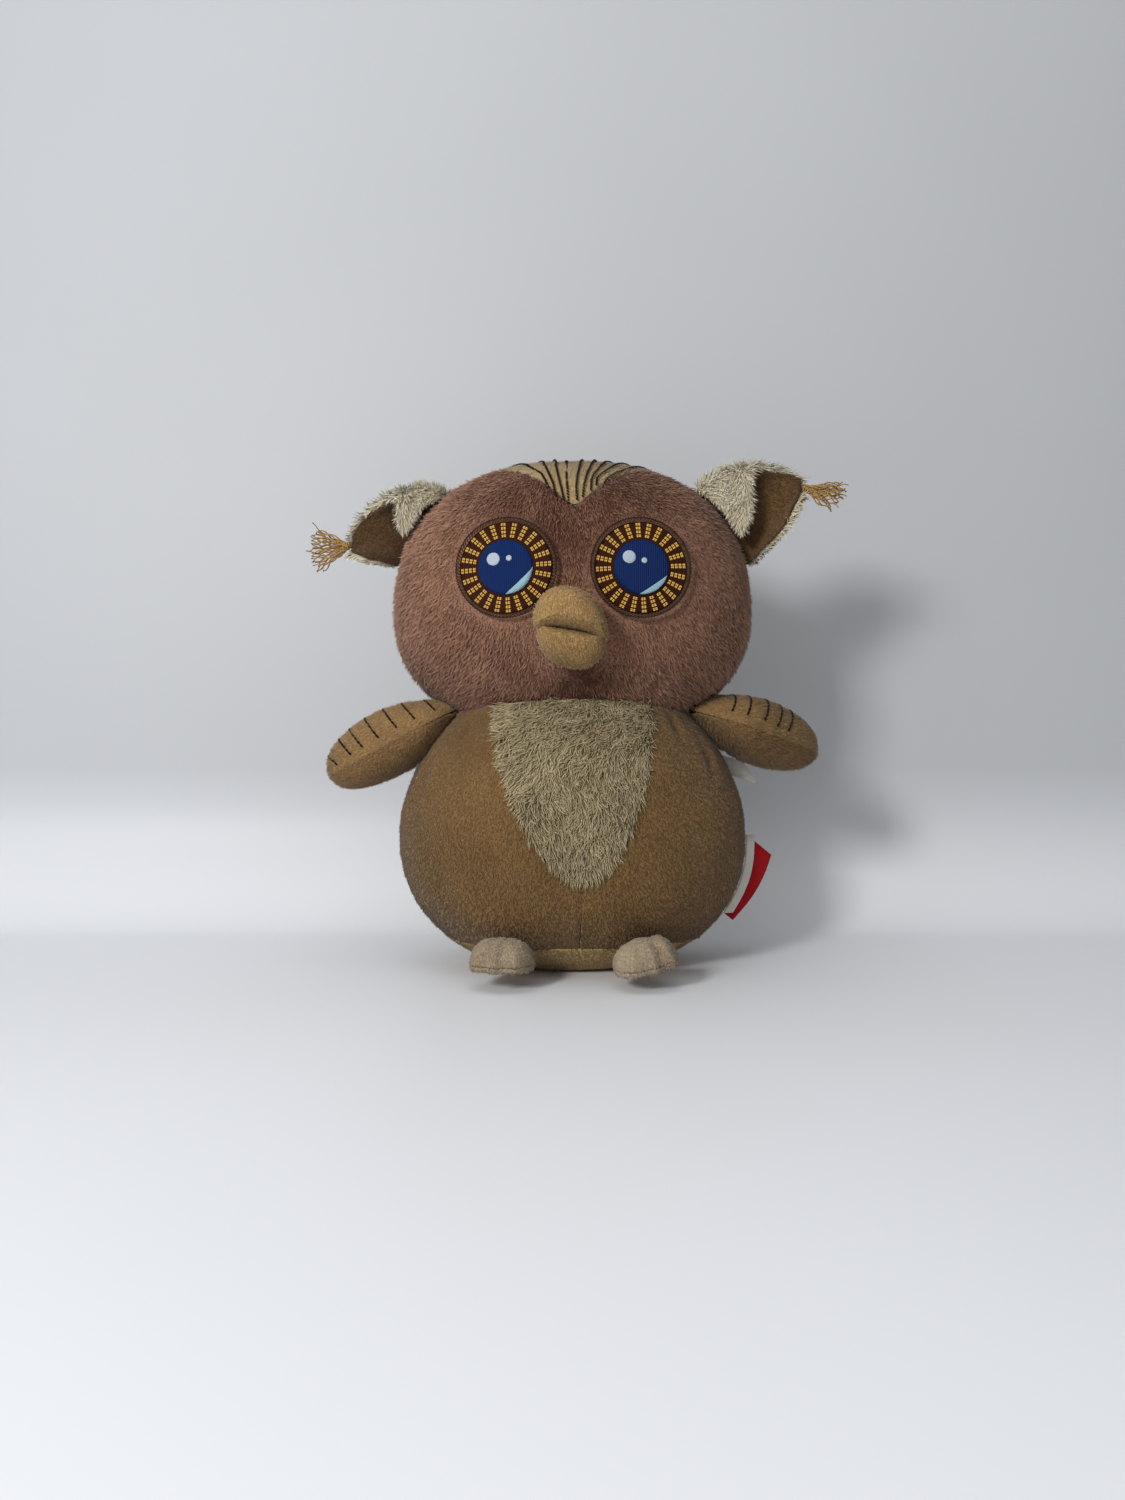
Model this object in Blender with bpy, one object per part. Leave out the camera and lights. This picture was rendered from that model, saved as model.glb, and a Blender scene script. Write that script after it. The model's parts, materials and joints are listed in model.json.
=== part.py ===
"""A plush owl: a stuffed head and body sewn from pile fabric, with wings, ears, tassels, feet and labels.

The owl faces -Y and stands on the flat of its base at the origin. Its own left is +X. Metres throughout.
"""
import math

import bmesh
import bpy
from mathutils import Vector

# Fabric and the clearances between sewn pieces
FABRIC = 0.0020
SEAM_GAP = 0.0004
STUFFING_GAP = 0.0016
STUFFING_LOW_SHARE = 0.33
STUFFING_CROWN_DEGREES = 84
TOUCH = 0.0003

# Neck seam, shared by the body and the head
NECK_HALF_WIDTH = 0.0520
NECK_HALF_DEPTH = 0.0370
NECK_WAVE = 0.0030
NECK_REACH = 0.0200

# Body
BODY_MIDDLE = 0.0554
BODY_NECK_RISE = 0.0610
BODY_HALF_WIDTH = 0.0776
BODY_HALF_DEPTH = 0.0575
BODY_BASE_CUT = 0.0030
BASE_SEAM_HEIGHT = 0.0135
BASE_INNER_SHARE = 0.5
BODY_UPPER_POWER = 2.0
BODY_LOWER_POWER = 2.15
OVAL_POWER = 2.1

# Head
HEAD_NECK_DROP = 0.0400
HEAD_HALF_WIDTH = 0.0800
HEAD_HALF_DEPTH = 0.0550
HEAD_RISE = 0.0686
HEAD_UPPER_POWER = 2.4
HEAD_LOWER_POWER = 2.2

# Chest bib: a shield from the neck seam to a rounded tip
BIB_HALF_WIDTH = 0.0340
BIB_TIP_HEIGHT = 0.0440
BIB_LEAN = 0.0031
BIB_ROUND_POWER = 1.24
BIB_END_DEGREES = 80

# Side seams of the body lean towards the back as they climb
SIDE_SEAM_DEGREES = 84
SIDE_SEAM_BASE_LOSS_DEGREES = 12
SEAM_LEAN_LOW_DEGREES = 2
SEAM_LEAN_HIGH_DEGREES = 18
CENTRE_SEAM_DEGREES = 2.2

# Head seam: the face wraps the sides, and the back panel comes over the crown to a V above the eyes
FACE_SEAM_DEGREES = 100
CROWN_TIP_DEGREES = 0.5
CROWN_TIP_SHARE = 0.61
CROWN_BROW_SHARE = 0.915
CROWN_V_DEGREES = 13.5
CROWN_SIDE_SHARE = 0.74
CROWN_SIDE_START_DEGREES = 55
CROWN_CENTRE_SHARE = 0.4
CROWN_RING_SHARES = (0.15, 0.3, 0.44, 0.57, 0.69, 0.8, 0.9, 1.0)

# Weighted pouch inside the base
POUCH_HEIGHT = 0.0180
POUCH_MARGIN = 0.0025
POUCH_RING_SHARES = ((0, 0.96), (0.35, 1.0), (0.7, 0.9), (0.93, 0.55))

# Eyes: an embroidered disc, a cord rim round it and a raised pupil
EYE_SPREAD = 0.0275
EYE_RISE = 0.0163
EYE_DISC_RADIUS = 0.0190
EYE_DISC_THICKNESS = 0.0012
EYE_RIM_RADIUS = 0.0013
PUPIL_RADIUS = 0.0111
PUPIL_THICKNESS = 0.0010
EYE_DISC_RING_SHARES = (0.5, 1.0)

# Beak: two stuffed lobes, one over the other
BEAK_OFFSET = -0.0013
BEAK_DROP = 0.0110
BEAK_HALF_WIDTH = 0.0153
BEAK_UPPER_HEIGHT = 0.0162
BEAK_LOWER_HEIGHT = 0.0150
BEAK_UPPER_PROUD = 0.0250
BEAK_LOWER_PROUD = 0.0215
BEAK_LOWER_HALF_WIDTH = 0.0136
BEAK_BOW = 0.0012
BEAK_CREASE_DEGREES = 10
BEAK_SQUARE_POWER = 0.85
BEAK_CENTRE_SHARE = 0.45
BEAK_RING_SHARES = ((0, 0.64), (0.18, 0.8), (0.4, 0.97), (0.58, 1.0), (0.8, 0.9), (0.94, 0.6))

# Wings
WING_LENGTH = 0.0590
WING_HALF_CHORD = 0.0175
WING_UPPER_SWELL = 0.0140
WING_LOWER_SWELL = 0.0112
WING_WIDEST_SHARE = 0.47
WING_FULL_SHARE = 0.44
WING_CROWN_POWER = 2.5
WING_UPPER_NARROWING = 0.43
WING_LOWER_NARROWING = 1.6
WING_HINGE_REACH = 0.0019
WING_TAB_LENGTH = 0.0027
WING_TAB_HALF_WIDTH = 0.0030
WING_TAB_THICKNESS = 0.0010
WING_FORWARD = 0.0070
WING_SHOULDER_DROP = 0.0100
WING_LIFT_DEGREES = {"right": 19.45, "left": 29.45}
WING_SWEEP_DEGREES = {"right": 0, "left": 14}
WING_RING_SHARES = (0.36, 0.66, 0.86, 0.96, 1.0)

# Ears: an outer and an inner leaf of pile fabric, folded into a scoop
EAR_FABRIC = 0.0016
EAR_CROWN_DROP = 0.0138
EAR_BACK_LENGTH = 0.0320
EAR_FRONT_LENGTH = 0.0220
EAR_FOLD_RADIUS = 0.0070
EAR_ROOT_GAP = 0.0005
EAR_FRONT_GAP = 0.0018
EAR_CURL = 0.0060
EAR_ARCH = {"right": 0.0030, "left": 0.0020}
EAR_LAYER_GAP = 0.0008
EAR_OPENING_SHARE = 0.45
EAR_OPEN_BY_SHARE = 0.8
EAR_FLAT_FROM_SHARE = 0.5
EAR_SPINE_SHARE = 0.26
EAR_TIP_REACH = {"right": 0.0210, "left": 0.0245}
EAR_TIP_DROP = {"right": 0.0381, "left": 0.0096}
EAR_TIP_FORWARD = 0.0060
EAR_TIP_SHARE = 0.93
EAR_LEAF_POWER = 0.75

# Tassels at the ear tips
TASSEL_LENGTH = {"right": 0.0185, "left": 0.0210}
TASSEL_GAP = 0.0008
TASSEL_RING_SHARES = (0, 0.15, 0.5, 0.85, 1.0)
TASSEL_ROOT_HALF_WIDTH = 0.0011
TASSEL_END_HALF_WIDTH = 0.0068
TASSEL_ROOT_HALF_THICKNESS = 0.0011
TASSEL_END_HALF_THICKNESS = 0.0030
TASSEL_DROP_DEGREES = {"right": 4, "left": 14}
TASSEL_RIDGES = 5
TASSEL_RIDGE_SHARE = 0.14

# Feet
FOOT_ROOT_SPREAD = 0.0245
FOOT_LENGTH = 0.0310
FOOT_HALF_WIDTH = 0.0135
FOOT_RISE = 0.0074
FOOT_DROP = 0.0045
FOOT_SOLE = 0.0018
FOOT_PINCH_RUN = 0.0090
FOOT_SPLAY_DEGREES = 15
FOOT_ROLL_DEGREES = {"right": 0, "left": -12}
FOOT_TOES = 3
FOOT_GROOVE_SHARE = 0.16
FOOT_ROOT_WIDTH_SHARE = 0.62
FOOT_ROOT_HEIGHT_SHARE = 0.16
FOOT_WIDE_BY_SHARE = 0.62
FOOT_FULL_BY_SHARE = 0.59
FOOT_SQUARE_POWER = 0.8
FOOT_CROWN_POWER = 3.2
FOOT_RING_SHARES = (0.3, 0.6, 0.82, 0.95)
FOOT_FLAT_SHARES = (0.5, 1.0)
SOLE_BOTTOM_SHARES = (0.97, 0.5)

# Labels of bare cloth, folded into the owl's left side seam
LABEL_THICKNESS = 0.0006
LABEL_SEAM_GAP = 0.0007
SIDE_LABEL_TOP = 0.0585
SIDE_LABEL_BOTTOM = 0.0245
SIDE_LABEL_WHITE_REACH = 0.0048
SIDE_LABEL_RED_REACH = 0.0140
SIDE_LABEL_RED_LOW_REACH = 0.0074
SIDE_LABEL_RED_SLIDE = 0.0095
SIDE_LABEL_RED_LOW_SLIDE = 0.0034
SIDE_LABEL_BACK_DEGREES = 48
CARE_LABEL_TOP = 0.0950
CARE_LABEL_BOTTOM = 0.0845
CARE_LABEL_REACH = 0.0170
CARE_LABEL_DROP = 0.0050
CARE_LABEL_BACK_DEGREES = 25

# Counts of facets
BODY_RING_POINTS = 32
BODY_ROWS = 10
BASE_ROWS = 4
CENTRE_SEAM_ROWS = 4
BIB_ROWS = 9
PANEL_COLUMNS = 9
BACK_PANEL_COLUMNS = 10
FACE_COLUMNS_EACH_SIDE = 12
FACE_ROWS = 9
NECK_BACK_POINTS = 16
HEAD_ROWS = 10
DISC_POINTS = 24
RIM_SIDES = 5
BEAK_POINTS = 22
WING_POINTS = 22
EAR_ROWS = 8
EAR_COLUMNS = 16
FOOT_POINTS = 30
LABEL_ROWS = 4
LABEL_COLUMNS = 2

# Step, in radians, for slopes taken by difference
SLOPE_STEP = 1e-4
LEAF_STEP_SHARE = 0.01
POLE_LIMIT = 0.02
FRONT_ROUNDS = 8
SHARP_DEGREES = 50
SIDES = {"right": -1, "left": 1}


def signed_power(value, power):
    """The power of a number's size, with the number's own sign."""
    return math.copysign(abs(value) ** power, value)


def smooth(share):
    """A share from 0 to 1 eased at both ends."""
    share = min(1.0, max(0.0, share))
    return share * share * (3 - 2 * share)


class Form:
    """A stuffed form: oval sections up an axis, fuller above and below its middle by two powers."""

    def __init__(self, middle, half_width, half_depth, upper, lower, depth_power):
        self.middle = middle
        self.half_width = half_width
        self.half_depth = half_depth
        self.upper = upper
        self.lower = lower
        self.depth_power = depth_power

    def latitude(self, height):
        """Angle up the form, from -90 to 90 degrees, whose section lies at a height."""
        reach, power = self.upper if height > self.middle else self.lower
        share = min(1.0, abs(height - self.middle) / reach)
        return math.copysign(math.asin(share ** (power / 2)), height - self.middle)

    def share(self, latitude):
        """Share of the full width that the section at a latitude has."""
        power = self.upper[1] if latitude > 0 else self.lower[1]
        return max(0.0, math.cos(latitude)) ** (2 / power)

    def place(self, turn, latitude):
        """Point of the surface. Turn 0 is the front, and it grows towards the owl's left."""
        reach, power = self.upper if latitude > 0 else self.lower
        share = self.share(latitude)
        height = self.middle + reach * signed_power(math.sin(latitude), 2 / power)
        near_neck = math.exp(-(((height - NECK_HEIGHT) / NECK_REACH) ** 2))
        height += NECK_WAVE * math.cos(2 * turn) * near_neck
        across = self.half_width * share * signed_power(math.sin(turn), 2 / OVAL_POWER)
        depth = self.half_depth * share**self.depth_power
        return Vector((across, -depth * signed_power(math.cos(turn), 2 / OVAL_POWER), height))

    def slopes(self, turn, latitude):
        """How the point moves with turn and with latitude."""
        step = SLOPE_STEP
        along = (self.place(turn + step, latitude) - self.place(turn - step, latitude)) / (2 * step)
        up = (self.place(turn, latitude + step) - self.place(turn, latitude - step)) / (2 * step)
        return along, up

    def normal(self, turn, latitude):
        """Direction straight out of the surface."""
        if math.cos(latitude) < POLE_LIMIT:
            return Vector((0, 0, math.copysign(1, latitude)))
        along, up = self.slopes(turn, latitude)
        return along.cross(up).normalized()

    def point(self, turn, latitude, depth=0.0):
        """Point of the surface, or one that lies at a depth under it."""
        spot = self.place(turn, latitude)
        return spot - self.normal(turn, latitude) * depth if depth else spot

    def turn_at(self, latitude, across):
        """Turn, on the front, at which the section at a latitude is this far across."""
        share = across / (self.half_width * self.share(latitude))
        share = min(1.0, max(-1.0, share))
        return math.asin(signed_power(share, OVAL_POWER / 2))

    def find_front(self, across, height):
        """Turn and latitude of the front's point that is this far across and this high."""
        guess = height
        for _ in range(FRONT_ROUNDS):
            latitude = self.latitude(guess)
            turn = self.turn_at(latitude, across)
            guess -= self.place(turn, latitude).z - height
        return turn, latitude

    def shift(self, turn, latitude, move):
        """Turn and latitude after a small move along the surface."""
        along, up = self.slopes(turn, latitude)
        aa, au, uu = along.dot(along), along.dot(up), up.dot(up)
        ma, mu = move.dot(along), move.dot(up)
        scale = 1 / (aa * uu - au * au)
        return turn + (ma * uu - mu * au) * scale, latitude + (mu * aa - ma * au) * scale


def neck_fit(neck_offset, half_width, half_depth, power):
    """Height of a form's half, and the power of its depth, that bring its section to the neck's size."""
    share = NECK_HALF_WIDTH / half_width
    latitude = math.acos(share ** (power / 2))
    height = neck_offset / math.sin(latitude) ** (2 / power)
    return height, math.log(NECK_HALF_DEPTH / half_depth) / math.log(share)


NECK_HEIGHT = BODY_MIDDLE + BODY_NECK_RISE
HEAD_MIDDLE = NECK_HEIGHT + HEAD_NECK_DROP
BODY_RISE, BODY_DEPTH_POWER = neck_fit(BODY_NECK_RISE, BODY_HALF_WIDTH, BODY_HALF_DEPTH, BODY_UPPER_POWER)
HEAD_DROP, HEAD_DEPTH_POWER = neck_fit(HEAD_NECK_DROP, HEAD_HALF_WIDTH, HEAD_HALF_DEPTH, HEAD_LOWER_POWER)
BODY = Form(
    BODY_MIDDLE,
    BODY_HALF_WIDTH,
    BODY_HALF_DEPTH,
    (BODY_RISE, BODY_UPPER_POWER),
    (BODY_MIDDLE + BODY_BASE_CUT, BODY_LOWER_POWER),
    BODY_DEPTH_POWER,
)
HEAD = Form(
    HEAD_MIDDLE,
    HEAD_HALF_WIDTH,
    HEAD_HALF_DEPTH,
    (HEAD_RISE, HEAD_UPPER_POWER),
    (HEAD_DROP, HEAD_LOWER_POWER),
    HEAD_DEPTH_POWER,
)
BODY_NECK = BODY.latitude(NECK_HEIGHT)
HEAD_NECK = HEAD.latitude(NECK_HEIGHT)
BASE_SEAM = BODY.latitude(BASE_SEAM_HEIGHT)
BASE_EDGE = BODY.latitude(0)


def spread(first, last, count):
    """Evenly spaced numbers from first to last, with count steps."""
    return [first + (last - first) * index / count for index in range(count + 1)]


def fabric(name, colour, roughness=0.95):
    """A matt material in a linear colour."""
    material = bpy.data.materials.new(name)
    material.use_nodes = True
    shader = material.node_tree.nodes["Principled BSDF"]
    shader.inputs["Base Color"].default_value = (*colour, 1)
    shader.inputs["Roughness"].default_value = roughness
    shader.inputs["Metallic"].default_value = 0
    material.diffuse_color = (*colour, 1)
    return material


def make(name, points, faces, material, origin=(0, 0, 0)):
    """One closed, smooth-shaded object, with its own origin."""
    origin = Vector(origin)
    work = bmesh.new()
    corners = [work.verts.new(point - origin) for point in points]
    for face in faces:
        work.faces.new([corners[index] for index in face])
    bmesh.ops.recalc_face_normals(work, faces=work.faces)
    mesh = bpy.data.meshes.new(name)
    work.to_mesh(mesh)
    work.free()
    mesh.shade_smooth()
    mesh.set_sharp_from_angle(angle=math.radians(SHARP_DEGREES))
    mesh.materials.append(material)
    piece = bpy.data.objects.new(name, mesh)
    piece.location = origin
    bpy.context.collection.objects.link(piece)
    return piece


def grid_wall(outer, inner):
    """Points and faces of a sheet between two grids of points, closed round its edges."""
    rows, columns = len(outer), len(outer[0])
    points = [point for grid in (outer, inner) for row in grid for point in row]
    below = rows * columns

    def at(row, column):
        return row * columns + column

    faces = []
    for row in range(rows - 1):
        for column in range(columns - 1):
            first, second, third = at(row, column), at(row, column + 1), at(row + 1, column + 1)
            for corners in ((first, second, third), (first, third, at(row + 1, column))):
                faces.append(corners)
                faces.append([below + index for index in reversed(corners)])
    edge = [at(0, column) for column in range(columns)]
    edge += [at(row, columns - 1) for row in range(1, rows)]
    edge += [at(rows - 1, column) for column in range(columns - 2, -1, -1)]
    edge += [at(row, 0) for row in range(rows - 2, 0, -1)]
    for first, second in zip(edge, edge[1:] + edge[:1]):
        faces.append([first, below + first, below + second, second])
    return points, faces


def loft(rings, first_centre=None, last_centre=None):
    """Points and faces of a closed body through rings, with a point over each end, or round to itself."""
    count = len(rings[0])
    points = [point for ring in rings for point in ring]
    pairs = [(number, number + 1) for number in range(len(rings) - 1)]
    if first_centre is None:
        pairs.append((len(rings) - 1, 0))
    faces = []
    for near, far in pairs:
        for index in range(count):
            after = (index + 1) % count
            low, high = near * count, far * count
            faces.append([low + index, low + after, high + after, high + index])
    if first_centre is not None:
        for ring, centre in ((0, first_centre), (len(rings) - 1, last_centre)):
            points.append(centre)
            for index in range(count):
                after = (index + 1) % count
                faces.append([ring * count + index, ring * count + after, len(points) - 1])
    return points, faces


def inset(form, loop, amount):
    """Moves a line that runs anticlockwise round a panel inwards on the form."""
    spots = [form.point(*spot) for spot in loop]
    moved = []
    for index, (turn, latitude) in enumerate(loop):
        normal = form.normal(turn, latitude)
        before = normal.cross(spots[index] - spots[index - 1]).normalized()
        after = normal.cross(spots[(index + 1) % len(loop)] - spots[index]).normalized()
        move = (before + after) * (amount / (1 + before.dot(after)))
        moved.append(form.shift(turn, latitude, move))
    return moved


def panel(name, form, near, far, columns, material):
    """A fabric panel between two seam lines of as many points. Near and far reversed run anticlockwise."""
    loop = inset(form, near + far[::-1], SEAM_GAP / 2)
    near, far = loop[: len(near)], loop[len(near) :][::-1]
    outer, inner = [], []
    for first, last in zip(near, far):
        row = []
        for share in spread(0, 1, columns):
            row.append((first[0] + (last[0] - first[0]) * share, first[1] + (last[1] - first[1]) * share))
        outer.append([form.point(*spot) for spot in row])
        inner.append([form.point(*spot, FABRIC) for spot in row])
    points, faces = grid_wall(outer, inner)
    return make(name, points, faces, material)


def bib_spot(side, angle):
    """Point of the bib's edge: angle 0 is its top corner at the neck, and 90 degrees its tip."""
    fall = math.sin(angle)
    latitude = BODY_NECK + (BODY.latitude(BIB_TIP_HEIGHT) - BODY_NECK) * fall
    across = BIB_LEAN * fall + side * BIB_HALF_WIDTH * math.cos(angle) ** BIB_ROUND_POWER
    return BODY.turn_at(latitude, across), latitude


def bib_edge(side):
    """The bib's edge from its tip up to the neck."""
    return [bib_spot(side, math.radians(angle)) for angle in spread(BIB_END_DEGREES, 0, BIB_ROWS)]


def side_seam(side):
    """A side seam of the body from the base seam up to the neck, with a point for each row of the front."""
    line = []
    for latitude in spread(BASE_SEAM, BODY_NECK, CENTRE_SEAM_ROWS + BIB_ROWS + 1):
        height = BODY.place(0, latitude).z
        above = smooth((height - BODY_MIDDLE) / (BODY_NECK_RISE - NECK_REACH))
        lean = SEAM_LEAN_LOW_DEGREES + (SEAM_LEAN_HIGH_DEGREES - SEAM_LEAN_LOW_DEGREES) * above
        below = max(0.0, (BODY_MIDDLE - height) / (BODY_MIDDLE - BASE_SEAM_HEIGHT))
        reach = SIDE_SEAM_DEGREES - SIDE_SEAM_BASE_LOSS_DEGREES * below * below
        line.append((math.radians(side * reach + lean), latitude))
    return line


def build_body(brown, cream, tan, stuffing):
    """Front and back panels, bib, base and the stuffing of the body."""
    centre = math.radians(CENTRE_SEAM_DEGREES)
    tip = bib_spot(1, math.radians(BIB_END_DEGREES))[1]
    centre_line = [(centre, latitude) for latitude in spread(BASE_SEAM, tip, CENTRE_SEAM_ROWS)]
    for name, side in SIDES.items():
        outer_line = side_seam(side)
        inner_line = centre_line + bib_edge(side)
        back = math.pi if side > 0 else -math.pi
        back_line = [(back, latitude) for _, latitude in outer_line]
        lines = (outer_line, inner_line) if side > 0 else (inner_line, outer_line)
        panel(f"body_front_{name}", BODY, *lines, PANEL_COLUMNS, brown)
        lines = (back_line, outer_line) if side > 0 else (outer_line, back_line)
        panel(f"body_back_{name}", BODY, *lines, BACK_PANEL_COLUMNS, brown)
    panel("chest_bib", BODY, bib_edge(1), bib_edge(-1), PANEL_COLUMNS, cream)
    turns = spread(0, 2 * math.pi, BODY_RING_POINTS)[:-1]
    build_base(turns, tan)
    build_stuffing(turns, stuffing)


def base_floor_ring(turns, share, height):
    """A ring on the base's inner floor, at a share of the floor's own outline."""
    ring = []
    for turn in turns:
        spot = BODY.point(turn, BASE_EDGE, FABRIC)
        ring.append(Vector((spot.x * share, spot.y * share, height)))
    return ring


def build_base(turns, tan):
    """The base: a shallow fabric bowl with a flat underside."""
    edge = BASE_SEAM - SEAM_GAP / 2 / BODY.slopes(0, BASE_SEAM)[1].length
    latitudes = spread(BASE_EDGE, edge, BASE_ROWS)
    flat = [BODY.point(turn, BASE_EDGE) for turn in turns]
    share = BASE_INNER_SHARE
    rings = [[Vector((spot.x * size, spot.y * size, 0)) for spot in flat] for size in (share, 1)]
    rings += [[BODY.point(turn, latitude) for turn in turns] for latitude in latitudes[1:]]
    rings += [[BODY.point(turn, latitude, FABRIC) for turn in turns] for latitude in latitudes[:0:-1]]
    rings += [base_floor_ring(turns, 1, FABRIC), base_floor_ring(turns, share, FABRIC)]
    points, faces = loft(rings, Vector((0, 0, 0)), Vector((0, 0, FABRIC)))
    make("base_panel", points, faces, tan)


def pouch_rings(turns, swell):
    """Rings up the weighted pouch, or up the hollow round it, which is larger by swell."""
    width = BODY.point(math.pi / 2, BASE_EDGE, FABRIC).x
    size = 1 - (POUCH_MARGIN - swell) / width
    bottom = FABRIC + TOUCH
    rings = []
    for level, share in POUCH_RING_SHARES:
        rings.append(base_floor_ring(turns, size * share, bottom + POUCH_HEIGHT * level))
    return rings


def build_stuffing(turns, stuffing):
    """Stuffing of the body round a weighted pouch, and stuffing of the head, which meet at the neck."""
    depth = FABRIC + STUFFING_GAP
    top = Vector((0, 0, NECK_HEIGHT - TOUCH / 2))
    low = BODY.latitude(BASE_SEAM_HEIGHT * STUFFING_LOW_SHARE)
    neck_slope = BODY.slopes(0, BODY_NECK)[1].length
    latitudes = spread(low, BODY_NECK - TOUCH / neck_slope, BODY_ROWS)
    floor = FABRIC + STUFFING_GAP
    hollow = pouch_rings(turns, TOUCH)
    mouth = [Vector((spot.x, spot.y, floor)) for spot in hollow[0]]
    rings = [[BODY.point(turn, latitude, depth) for turn in turns] for latitude in reversed(latitudes)]
    rings += [base_floor_ring(turns, 1, floor), mouth] + hollow[1:]
    crest = FABRIC + TOUCH + POUCH_HEIGHT
    points, faces = loft(rings, top, Vector((0, 0, crest + TOUCH)))
    make("body_stuffing", points, faces, stuffing)
    points, faces = loft(pouch_rings(turns, 0), Vector((0, 0, FABRIC + TOUCH)), Vector((0, 0, crest)))
    make("pellet_pouch", points, faces, stuffing)
    neck_slope = HEAD.slopes(0, HEAD_NECK)[1].length
    latitudes = spread(HEAD_NECK + TOUCH / neck_slope, math.radians(STUFFING_CROWN_DEGREES), HEAD_ROWS)
    rings = [[HEAD.point(turn, latitude, depth) for turn in turns] for latitude in latitudes]
    crown = Vector((0, 0, HEAD_MIDDLE + HEAD_RISE - depth))
    points, faces = loft(rings, Vector((0, 0, NECK_HEIGHT + TOUCH / 2)), crown)
    make("head_stuffing", points, faces, stuffing)


def crown_spot(turn):
    """Point of the seam between the face and the back panel over the crown."""
    degrees = math.degrees(turn)
    away = abs(degrees - CROWN_TIP_DEGREES)
    share = CROWN_BROW_SHARE - (CROWN_BROW_SHARE - CROWN_TIP_SHARE) * math.exp(-away / CROWN_V_DEGREES)
    side = (abs(degrees) - CROWN_SIDE_START_DEGREES) / (FACE_SEAM_DEGREES - CROWN_SIDE_START_DEGREES)
    share -= (CROWN_BROW_SHARE - CROWN_SIDE_SHARE) * smooth(side)
    return turn, HEAD.latitude(HEAD_MIDDLE + HEAD_RISE * share)


def flat_map(turn, latitude):
    """The head laid out flat round its crown: the neck is a circle of radius 1."""
    radius = (math.pi / 2 - latitude) / (math.pi / 2 - HEAD_NECK)
    return Vector((radius * math.sin(turn), -radius * math.cos(turn)))


def from_flat(spot):
    """Turn and latitude of a point of the flat layout."""
    return math.atan2(spot.x, -spot.y), math.pi / 2 - spot.length * (math.pi / 2 - HEAD_NECK)


def build_head(mauve, tan):
    """The face panel, and the back panel that comes over the crown."""
    seam, tip = math.radians(FACE_SEAM_DEGREES), math.radians(CROWN_TIP_DEGREES)
    turns = spread(-seam, tip, FACE_COLUMNS_EACH_SIDE) + spread(tip, seam, FACE_COLUMNS_EACH_SIDE)[1:]
    crown = [crown_spot(turn) for turn in turns]
    panel("head_face", HEAD, [(turn, HEAD_NECK) for turn in turns], crown, FACE_ROWS, mauve)
    side = spread(crown[-1][1], HEAD_NECK, FACE_ROWS)
    loop = crown + [(seam, latitude) for latitude in side[1:]]
    loop += [(turn, HEAD_NECK) for turn in spread(seam, 2 * math.pi - seam, NECK_BACK_POINTS)[1:]]
    loop += [(2 * math.pi - seam, latitude) for latitude in side[-2:0:-1]]
    loop = inset(HEAD, loop, SEAM_GAP / 2)
    centre = Vector((0, CROWN_CENTRE_SHARE))
    rings = []
    for share in CROWN_RING_SHARES:
        spots = [from_flat(centre.lerp(flat_map(*spot), share)) for spot in loop]
        rings.append(spots)
    outer = [[HEAD.point(*spot) for spot in ring] for ring in rings]
    inner = [[HEAD.point(*spot, FABRIC) for spot in ring] for ring in reversed(rings)]
    middle = from_flat(centre)
    points, faces = loft(outer + inner, HEAD.point(*middle), HEAD.point(*middle, FABRIC))
    make("head_back", points, faces, tan)


def face_ring(across, height, radius, lift):
    """A ring of points that lies over the face."""
    ring = []
    for angle in spread(0, 2 * math.pi, DISC_POINTS)[:-1]:
        spot = HEAD.find_front(across + radius * math.cos(angle), height + radius * math.sin(angle))
        ring.append(HEAD.point(*spot, -lift))
    return ring


def face_disc(name, across, height, radius, lift, thickness, material):
    """A disc of embroidery that follows the face."""
    shares = EYE_DISC_RING_SHARES
    top = lift + thickness
    low = [face_ring(across, height, radius * share, lift) for share in shares]
    high = [face_ring(across, height, radius * share, top) for share in reversed(shares)]
    centre = HEAD.find_front(across, height)
    points, faces = loft(low + high, HEAD.point(*centre, -lift), HEAD.point(*centre, -top))
    make(name, points, faces, material)


def build_eye(name, side, iris, cord, blue):
    """Disc, rim cord and pupil of one eye."""
    across, height = side * EYE_SPREAD, HEAD_MIDDLE + EYE_RISE
    face_disc(f"eye_{name}_iris", across, height, EYE_DISC_RADIUS, TOUCH, EYE_DISC_THICKNESS, iris)
    lift = 2 * TOUCH + EYE_DISC_THICKNESS
    face_disc(f"eye_{name}_pupil", across, height, PUPIL_RADIUS, lift, PUPIL_THICKNESS, blue)
    rings = []
    middle = EYE_DISC_RADIUS + TOUCH + EYE_RIM_RADIUS
    for angle in spread(0, 2 * math.pi, RIM_SIDES)[:-1]:
        radius = middle + EYE_RIM_RADIUS * math.cos(angle)
        lift = TOUCH + EYE_RIM_RADIUS * (1 + math.sin(angle))
        rings.append(face_ring(across, height, radius, lift))
    points, faces = loft(rings)
    make(f"eye_{name}_rim", points, faces, cord)


def beak_outline(side, width, height):
    """Closed outline of a beak lobe from the front: its edge follows the slanting, bowed crease."""
    lean = math.tan(math.radians(BEAK_CREASE_DEGREES))
    points = []
    for angle in spread(0, 2 * math.pi, BEAK_POINTS)[:-1]:
        across = width * signed_power(math.cos(angle), BEAK_SQUARE_POWER)
        crease = BEAK_BOW * (1 - (across / BEAK_HALF_WIDTH) ** 2) - across * lean
        points.append((across, crease + side * (TOUCH + height * max(0.0, math.sin(angle)))))
    return points


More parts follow.
